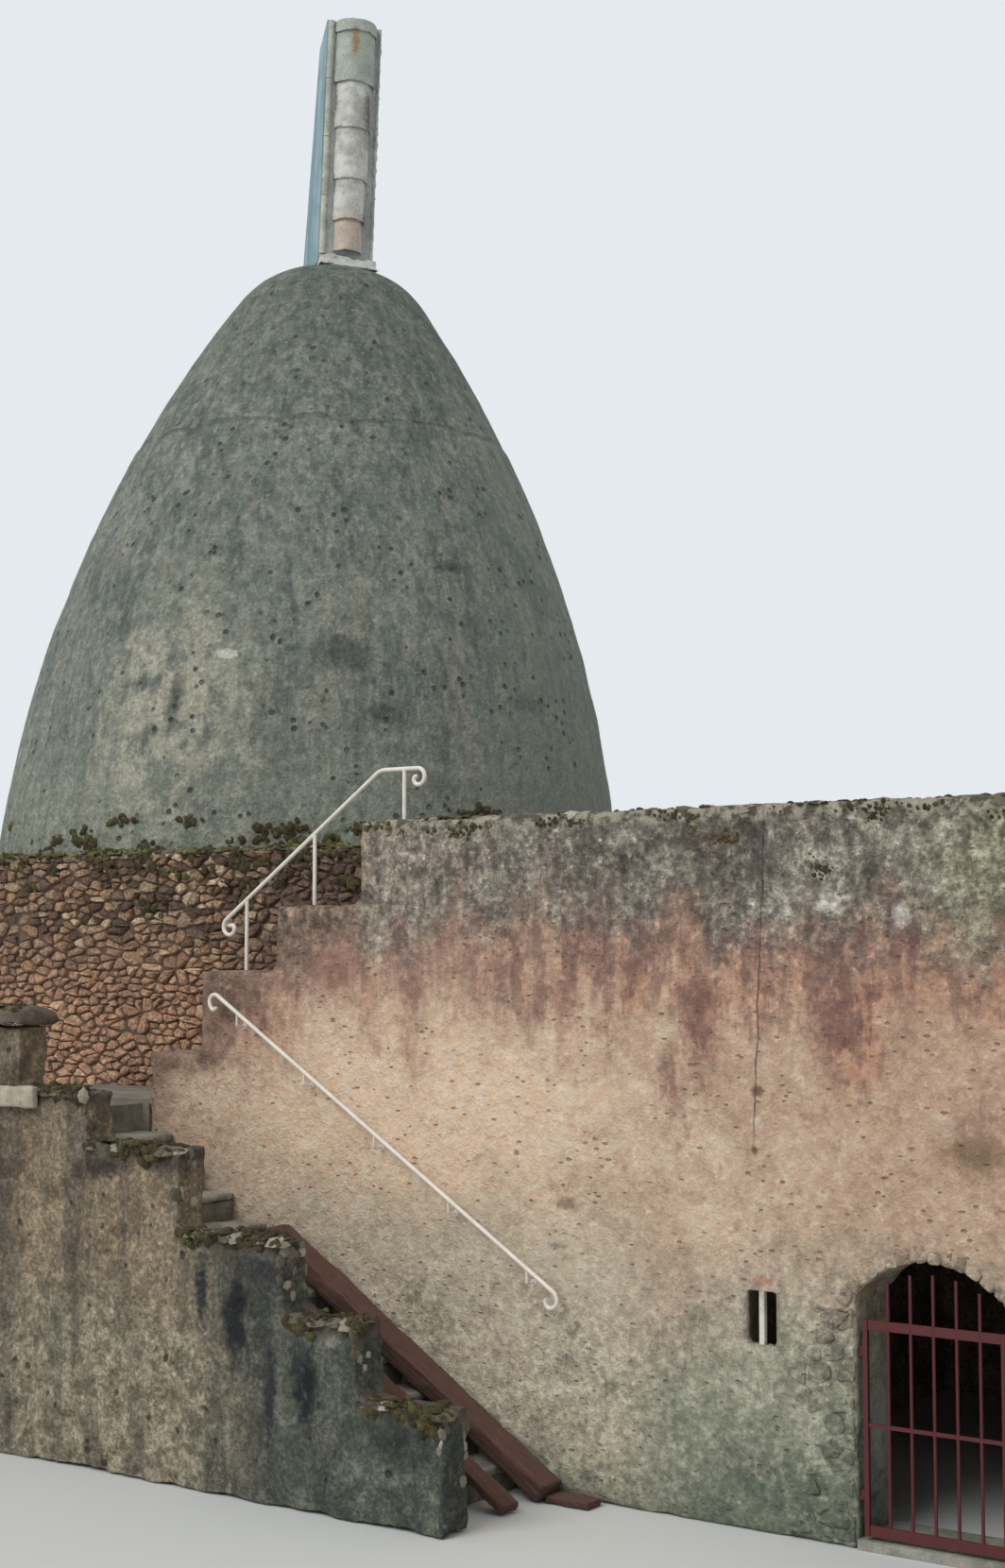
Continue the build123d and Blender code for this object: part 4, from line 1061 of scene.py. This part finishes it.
class BuildStack(Builder, bpy.types.Operator):
    """Tiled stack on the cone: finishes of its nodes and a rough mortar bed"""

    bl_idname = "stonework.build_stack"
    bl_label = "Tiled stack"

    def build(self, scene):
        clay = tile_finish()
        for name in sorted(name for name in NODES if name.startswith("stack_tile")):
            tile = even_skin([name], 0.0105)
            points = points_of(tile)
            low = points[:, 2].min()
            ragged = lump_noise(points * (1, 1, 0.2), 0.045, 31) * 0.5 + 0.5
            points[:, 2] += 0.02 * ragged * np.clip(1 - (points[:, 2] - low) / 0.07, 0, 1)
            set_points(tile, points)
            add_piece(name + "_weathered", roughen(tile, 0.004, 0.05, 32), clay, "clay_tile", (name,))
        give(sheet_finish(), "stack_side_sheet")
        give(stone_finish("stack_core", (0.36, 0.39, 0.37), (0.5, 0.53, 0.5)), "stack_core")
        give(stone_finish("stack_roll", (0.36, 0.38, 0.33), (0.6, 0.6, 0.51), bump=0.5), "stack_roll")
        mortar = stone_finish("stack_mortar", (0.42, 0.43, 0.41), (0.66, 0.66, 0.63))
        rough_pieces(
            ("stack_edge_mortar", "stack_edge_strip", 0.011, 0.018, 0.06, 5, mortar, "stack_mortar"),
            ("stack_bed_mortar", "stack_bed", 0.014, 0.03, 0.09, 8, mortar, "stack_mortar"),
        )


FRONT_WALL = (
    "front_wall_stepped_end",
    "front_wall_main",
    "slit_bay",
    "door_jamb_left",
    "door_jamb_right",
    "door_arch",
    "wall_over_door",
    "front_wall_right",
    "front_coping",
)


def fixing_places():
    """Where brackets, posts and pins are set in the front wall."""
    names = "lower_brackets", "gate_pins", "upper_handrail"
    brackets, pins, rail = (points_of(NODES[name].data) for name in names)
    feet = [rail[abs(rail[:, 2] - level) < 0.01] for level in (2.91, 3.32, 3.83)]
    places = []
    for points in (brackets[brackets[:, 1] > FRONT_FACE - 0.006], pins, *feet):
        places += {tuple(np.round(point / 0.2).astype(int)): point for point in points}.values()
    return places


class BuildFrontWall(Builder, bpy.types.Operator):
    """Front wall and its coping as one rough rendered face, with its doorway and slit"""

    bl_idname = "stonework.build_front_wall"
    bl_label = "Front wall"

    def build(self, scene):
        size = scene.wall_sizes
        skin = even_skin(FRONT_WALL, size.cell)
        roughen(skin, size.relief, 0.13, 31, fixing_places())
        hole = points_of(NODES["slit_bay"].data)
        hole = hole[(hole[:, 2] > 0.1) & (hole[:, 2] < 3) & (hole[:, 1] < FRONT_FACE + 0.001)]
        hole = hole[(hole[:, 0] > 6.4) & (hole[:, 0] < 6.95)]
        square_hole(skin, hole.min(axis=0)[[0, 2]], hole.max(axis=0)[[0, 2]], hole[:, 1].min())
        wall = wall_finish()
        add_piece("front_wall_render", skin, wall, "wall_render", FRONT_WALL)
        give(wall, "right_wall", "terrace_back_wall")
        give(stone_finish("slit_bar", (0.45, 0.43, 0.36), (0.68, 0.66, 0.57), bump=0.3), "slit_bar")
        give(stone_finish("door_sill", (0.2, 0.2, 0.17), (0.36, 0.35, 0.3)), "door_sill")


class BuildDoorStones(Builder, bpy.types.Operator):
    """Rough whitish stones beside the doorway and a ragged ring of small stones over its arch"""

    bl_idname = "stonework.build_door_stones"
    bl_label = "Door stones"

    def build(self, scene):
        pick = np.random.default_rng(77)
        jamb = [
            outline
            for outline in stone_outlines((6.86, 0.03), (7.252, 1.2), (0.13, 0.085), 78, 0.12)
            if outline[:, 0].mean() > 6.97 - 0.06 * sin(outline[:, 1].mean() * 9) and pick.random() < 0.9
        ]
        ring = []
        middle, spring, rise, half = 7.67, 1.2, 0.265, 0.46
        radius = (half**2 + rise**2) / (2 * rise)
        sweep = atan2(half, radius - rise)
        turn = -sweep
        while turn < sweep:
            step = pick.uniform(0.055, 0.095) / radius
            after = min(turn + step, sweep)
            tall = pick.uniform(0.05, 0.1)
            corners = [(turn, radius), (after, radius), (after, radius + tall), (turn, radius + tall)]
            outline = [(middle + sin(a) * r, spring + rise - radius + cos(a) * r) for a, r in corners]
            ring.append(np.array(outline)[::-1])
            turn = after
        verts, faces, tones = stones(jamb, EAST, -NORTH, 79, 0.005, 0.02, 0.009, 0.16)
        arch, arch_faces, arch_tones = stones(ring, EAST, -NORTH, 80, 0.003, 0.02, 0.003, 0.22)
        verts, faces = merged([(verts, faces), (arch, arch_faces)])
        mesh = mesh_of(verts + NORTH * FRONT_FACE, faces)
        set_tone(mesh, np.concatenate([tones, arch_tones]))
        add_piece("door_stones", mesh, wall_finish("door_stones", stony=True), "door_stone", smooth=False)


def stones_on_mortar(name, laid, back, offset, finishes, replaced=()):
    """A piece of stones with a sheet of mortar behind them, moved by offset and kept in the CAD's box."""
    points, faces, tones = laid
    verts, faces = merged([(points, faces), back])
    mesh = mesh_of(np.clip(verts + np.array(offset), *cad_box), faces)
    set_tone(mesh, np.concatenate([tones, np.zeros(len(back[0]))]))
    add_piece(name, mesh, finishes, "rubble", replaced, smooth=False)
    which = np.zeros(len(mesh.polygons), dtype=np.int32)
    which[-len(back[1]):] = 1
    mesh.polygons.foreach_set("material_index", which)


def over_stairs(outline):
    """Whether a stone of the front rubble wall stands above the stairs, where it shows."""
    x, z = outline.mean(axis=0)
    return not (x > 0.5 and z < 1.95 or x > 2.7 and z < 2.0 + (x - 2.6) * 0.7)


class BuildRubble(Builder, bpy.types.Operator):
    """Rubble walls of the mound: irregular stones in recessed mortar on the faces that show"""

    bl_idname = "stonework.build_rubble"
    bl_label = "Rubble walls"

    def build(self, scene):
        sizes = scene.wall_sizes
        finishes = rubble_finish(), mortar_finish()
        joint, depth = sizes.joint, sizes.joint_depth
        stone = np.array((sizes.stone_length, sizes.stone_height))
        side, front = MOUND_SIDE, RUBBLE_FACE
        walls = (
            ("front", (-side, 0), (side, MOUND_TOP), EAST, -NORTH, NORTH * front, 1.0, 0.006, 0.24, 0.02),
            ("left", (front, 0), (side, 3.69), NORTH, -EAST, -EAST * side, 2.3, -0.006, 0.06, -0.0005),
            ("back", (-side, 0), (side, 3.69), EAST, NORTH, NORTH * side, 2.3, -0.006, 0.06, -0.0005),
        )
        for number, (name, low, high, along, out, offset, scale, proud, tilt, limit) in enumerate(walls):
            outlines = stone_outlines(low, high, tuple(stone * scale), 90 + number, 0.3)
            if name == "front":
                outlines = filter(over_stairs, outlines)
            laid = stones(outlines, along, out, 95 + number, joint, depth, proud, tilt, limit)
            back = sheet_grid(low, high, along, out, 0.07, 99 + number, depth * 0.8)
            wall = f"rubble_{name}_wall"
            stones_on_mortar(wall + "_stones", laid, back, offset, finishes, (wall,))
        outlines = filter(over_stairs, stone_outlines((side, 2.1), (4.06, 3.25), tuple(stone), 404, 0.26))
        laid, faces, tones = stones(outlines, EAST, -NORTH, 405, joint, 0.03, 0.024, 0.2)
        mesh = mesh_of(laid + NORTH * front, faces)
        set_tone(mesh, tones)
        add_piece("terrace_stair_stones", mesh, finishes[0], "rubble", smooth=False)
        low, high = (-2.93, 3.2), (2.68, 3.73)
        outlines = stone_outlines(low, high, stone * 1.6, 407, 0.26)
        laid = stones(outlines, NORTH, EAST, 408, joint, 0.03, 0.024, 0.1, 0.024)
        back = sheet_grid(low, high, NORTH, EAST, 0.09, 409, -0.004)
        stones_on_mortar("mound_right_stones", laid, back, EAST * side, finishes)
        give(finishes[1], "rubble_right_wall", "mound_core")


class BuildCopings(Builder, bpy.types.Operator):
    """Lumpy mortar copings on the walls and the mound"""

    bl_idname = "stonework.build_copings"
    bl_label = "Copings"

    def build(self, scene):
        finish = coping_finish()
        for seed, (name, cell) in enumerate(
            (("right_coping", 0.03), ("back_coping", 0.03), ("mound_coping", 0.06)), 50
        ):
            rough_pieces((name + "_rough", name, cell, 0.03, 0.16, seed, finish, "mossy_coping"))


def drawn(pick, values):
    """Values as they stand, drawn from a range (low, high), or below a level (level, reach, "below")."""
    made = []
    for value in values:
        if not isinstance(value, tuple):
            made.append(value)
        elif len(value) == 2:
            made.append(pick.uniform(*value))
        else:
            made.append(value[0] - abs(pick.normal(0, value[1])))
    return tuple(made)


class BuildMoss(Builder, bpy.types.Operator):
    """Moss and small stones on the copings, at the cone's foot and along the parapet"""

    bl_idname = "stonework.build_moss"
    bl_label = "Moss and loose stones"

    def build(self, scene):
        moss, pebbles = Growth(5), Growth(6)
        pick = moss.pick
        up, front = (0, 0, 1), (0, -1, 0)
        wall, rubble, parapet = FRONT_FACE + 0.008, RUBBLE_FACE + 0.005, PARAPET_FACE + 0.01
        wall_run, fine, finest = (4.0, 9.4), (0.007, 0.017), (0.006, 0.015)

        def scatter(count, place, normal, spread, domes, tall, size=(0.016, 0.036)):
            for _ in range(count):
                moss.clump(drawn(pick, place), normal, drawn(pick, spread), domes, tall, size)

        scatter(70, (wall_run, (-4.16, -3.95), 3.82), up, ((0.08, 0.26), 0.05), 10, 0.016, (0.012, 0.028))
        scatter(20, (wall_run, wall, (3.79, 0.04, "below")), front, ((0.08, 0.3), 0.03), 26, 0.006, fine)
        tufts = (7.09, 3.47, 34), (7.41, 3.46, 40), (7.02, 3.5, 14), (5.15, 3.72, 20), (6.3, 3.7, 30)
        for x, z, domes in tufts:
            moss.clump((x, wall, z), front, (0.07, 0.04), domes, 0.006, finest)
        for _ in range(130):
            x, size = drawn(pick, (wall_run, (0.035, 0.075)))
            place = (x, -4.15 + pick.uniform(-0.01, 0.06), 3.8)
            pebbles.add(place, (pick.uniform(-0.2, 0.2), -0.3, 1), size, size * 0.6)
        for x_range, y_range, level, count in (
            ((9.06, 9.4), (-3.7, 2.6), 3.822, 34),
            ((3.2, 9.4), (2.7, 3.05), 3.822, 34),
            ((-3.05, -2.8), (-2.6, 3.0), 3.738, 30),
            ((-3.0, 3.0), (2.8, 3.05), 3.738, 30),
            ((-3.0, 3.05), (-2.92, -2.72), 3.742, 95),
        ):
            scatter(count, (x_range, y_range, level), up, (0.1, 0.07), 7, 0.05)
        tufts = (0.87, 3.7), (1.81, 3.66), (2.52, 3.6), (2.86, 3.5), (2.26, 3.54), (1.91, 3.38), (0.97, 3.35)
        for x, z in tufts:
            moss.clump((x, rubble, z), front, (0.13, 0.06), 22, 0.02)
        scatter(60, ((-3.0, 3.0), rubble, (3.73, 0.09, "below")), front, (0.08, 0.035), 7, 0.014)
        size = scene.cone_sizes
        profile, axis = cone_profile(size)
        flank = profile[: FLANK_RINGS + 1]
        for _ in range(120):
            turn = pick.uniform(0, 2 * pi)
            height = 0.04 + min(abs(pick.normal(0, 0.13)), 0.32)
            radius = np.interp(height, flank[:, 1], flank[:, 0])
            normal = np.array((cos(turn), sin(turn), 0.16))
            place = UP * size.foot_level + axis * height + normal * radius * (1, 1, 0)
            moss.clump(place, normal, (pick.uniform(0.07, 0.17), 0.04), 14, 0.02)
        scatter(150, ((-3.05, 3.05), (-2.93, -2.86), MOUND_TOP), up, (0.09, 0.03), 7, 0.035)
        for _ in range(150):
            turn = pick.uniform(0, 2 * pi)
            place = (cos(turn) * 2.74, sin(turn) * 2.74, MOUND_TOP)
            normal = (cos(turn) * 0.5, sin(turn) * 0.5, 1)
            pebbles.add(place, normal, *drawn(pick, ((0.04, 0.1), (0.03, 0.07))))
        for _ in range(55):
            reach, x = drawn(pick, ((0.035, 0.07), (-3.0, 3.0)))
            pebbles.add((x, -2.9, 3.735), (0, -0.4, 1), reach, reach * 0.7)
        for low, high, level in (*PARAPET_STEPS, (0.5, 2.15, 2.69)):
            across = (low, high)
            count = int((high - low) * 30)
            scatter(count, (across, (-5.28, -5.08), level - 0.012), up, (0.05, 0.05), 5, 0.03)
            count = int((high - low) * 16)
            for _ in range(count):
                reach, x = drawn(pick, ((0.03, 0.08), across))
                pebbles.add((x, -5.26, level - 0.025), (0, -0.35, 1), reach, reach * 0.4)
            edge = (across, parapet, (level - 0.02, 0.03, "below"))
            scatter(count, edge, front, (0.05, 0.025), 6, 0.014)
        for _, end, level in PARAPET_STEPS:
            for _ in range(26):
                reach = pick.uniform(0.02, 0.045)
                place = drawn(pick, (end - 0.012, (-5.29, -5.08), (level - 0.03, 0.16, "below")))
                pebbles.add(place, (1, -0.2, 0.1), reach, reach * 0.4)
        moss.build("moss_clumps", moss_finish(), "mossy_coping")
        pebbles.build("coping_stones", edge_stone_finish(), "mossy_coping", smooth=False)


class BuildStairs(Builder, bpy.types.Operator):
    """Stair flights, landing, parapet and its mossy cap"""

    bl_idname = "stonework.build_stairs"
    bl_label = "Stairs"

    def build(self, scene):
        render = parapet_finish()
        cap = stone_finish("parapet_cap", (0.055, 0.043, 0.034), (0.165, 0.13, 0.095), 0.2)
        pale = stone_finish("ledge_stone", (0.33, 0.29, 0.22), (0.52, 0.47, 0.37))
        tread = stone_finish("tread_stone", (0.17, 0.155, 0.125), (0.36, 0.335, 0.28), 0.12)
        rough_pieces(
            ("stair_parapet_rough", "stair_parapet", 0.028, 0.036, 0.14, 61, render, "parapet_render"),
            ("landing_cap_mossy", "landing_parapet_cap", 0.022, 0.03, 0.12, 62, cap, "mossy_coping"),
            ("landing_ledge_rough", "landing_ledge", 0.018, 0.014, 0.1, 63, pale, "ledge_stone"),
            ("lower_treads_worn", "lower_treads", 0.028, 0.012, 0.12, 64, tread, "tread_stone"),
            ("upper_treads_worn", "upper_treads", 0.028, 0.012, 0.12, 64, tread, "tread_stone"),
        )
        stair = stone_finish("stair_stone", (0.13, 0.115, 0.09), (0.26, 0.235, 0.19), 0.1)
        give(stair, "lower_flight", "upper_flight", "landing")


class BuildTimbers(Builder, bpy.types.Operator):
    """Old timbers on the lower flight, with rounded and split edges"""

    bl_idname = "stonework.build_timbers"
    bl_label = "Timbers"

    def build(self, scene):
        wood = timber_finish()
        for seed, name in enumerate(("timber_by_wall", "timber_outer", "foot_board"), 70):
            rough_pieces((name + "_worn", name, 0.014, 0.012, 0.1, seed, wood, "old_timber"))


class BuildIronwork(Builder, bpy.types.Operator):
    """Paint of the gate, its pins and the handrails"""

    bl_idname = "stonework.build_ironwork"
    bl_label = "Ironwork"

    def build(self, scene):
        shades = scene.colours
        red = paint_finish("gate_paint", shades.gate, (0.07, 0.015, 0.016), (0.07, 0.035, 0.022), 0.6)
        give(red, "gate_leaf", "gate_pins")
        cream = paint_finish("rail_paint", shades.rails, (0.66, 0.6, 0.52), (0.26, 0.12, 0.06), 0.7)
        give(cream, "lower_handrail", "lower_brackets", "upper_handrail")


class BuildRoom(Builder, bpy.types.Operator):
    """Finish of the vaulted room and of the terrace over it"""

    bl_idname = "stonework.build_room"
    bl_label = "Room and terrace"

    def build(self, scene):
        made = terrace_finish()
        give(made, "room_left_wall", "room_back_wall", "room_vault")
        give(made, "terrace_core_front", "terrace_core_back", "terrace_core_left")


class BuildStage(Builder, bpy.types.Operator):
    """Pale floor, soft light and the camera at the photographer's place"""

    bl_idname = "stonework.build_stage"
    bl_label = "Stage"

    def build(self, scene):
        size = scene.stage_sizes
        reach, level = 160, -0.002
        corners = [(reach * x, reach * y, level) for x, y in ((-1, -1), (1, -1), (1, 1), (-1, 1))]
        floor = bpy.data.objects.new("floor", mesh_of(corners, [(0, 1, 2, 3)]))
        pale = Finish("floor")
        pale.base = (0.62, 0.63, 0.62)
        floor.data.materials.append(pale.end(0.9))
        scene.world = scene.world or bpy.data.worlds.new("sky")
        sky = Finish("sky", scene.world)
        rays = [
            sky.node("ShaderNodeLightPath", output=f"Is {kind} Ray")
            for kind in ("Camera", "Glossy", "Transmission")
        ]
        seen = sky.math("MAXIMUM", sky.math("MAXIMUM", *rays[:2]), rays[2])
        light, back = (
            sky.node("ShaderNodeBackground", {"Color": shade, "Strength": strength})
            for shade, strength in (((0.95, 0.98, 1.0), size.sky), ((0.785, 0.825, 0.865), 1.0))
        )
        both = sky.node("ShaderNodeMixShader", {0: seen, 1: light, 2: back})
        sky.give_out("ShaderNodeOutputWorld", both)
        lamp = bpy.data.lights.new("soft_lamp", "SUN")
        lamp.energy, lamp.angle, lamp.color = size.lamp, radians(35), (1.0, 0.98, 0.95)
        holder = bpy.data.objects.new("soft_lamp", lamp)
        holder.rotation_euler = (radians(48), 0, radians(-12))
        camera = bpy.data.cameras.new("camera")
        camera.sensor_fit, camera.sensor_height, camera.lens = "VERTICAL", 36, size.lens
        camera.clip_end = 500
        view = bpy.data.objects.new("camera", camera)
        view.location = (12.365, -14.467, 3.073)
        view.rotation_euler = (radians(90 + 4.227), 0, radians(35.51))
        for made in (floor, holder, view):
            scene.collection.objects.link(made)
        scene.camera = view
        scene.view_settings.view_transform = "Standard"


OPERATORS = (
    BuildCone,
    BuildStack,
    BuildFrontWall,
    BuildDoorStones,
    BuildRubble,
    BuildCopings,
    BuildMoss,
    BuildStairs,
    BuildTimbers,
    BuildIronwork,
    BuildRoom,
    BuildStage,
)
SETTINGS = {
    "cone_sizes": ConeSizes,
    "wall_sizes": WallSizes,
    "colours": Colours,
    "stage_sizes": StageSizes,
}


class StoneworkPanel(bpy.types.Panel):
    """Buttons for the windmill's pieces"""

    bl_idname = "STONEWORK_PT_pieces"
    bl_label = "Stonework"
    bl_space_type = "VIEW_3D"
    bl_region_type = "UI"
    bl_category = "Stonework"

    def draw(self, context):
        for group in SETTINGS:
            box = self.layout.box()
            for name in getattr(context.scene, group).bl_rna.properties.keys():
                if name not in ("rna_type", "name"):
                    box.prop(getattr(context.scene, group), name)
        for operator in OPERATORS:
            self.layout.operator(operator.bl_idname)


def register():
    for group in (*SETTINGS.values(), *OPERATORS, StoneworkPanel):
        bpy.utils.register_class(group)
    for name, group in SETTINGS.items():
        setattr(bpy.types.Scene, name, PointerProperty(type=group))


def unregister():
    for name in SETTINGS:
        delattr(bpy.types.Scene, name)
    for group in reversed((*SETTINGS.values(), *OPERATORS, StoneworkPanel)):
        bpy.utils.unregister_class(group)


def main():
    register()
    for operator in OPERATORS:
        group, name = operator.bl_idname.split(".")
        getattr(getattr(bpy.ops, group), name)()


if __name__ == "__main__":
    main()
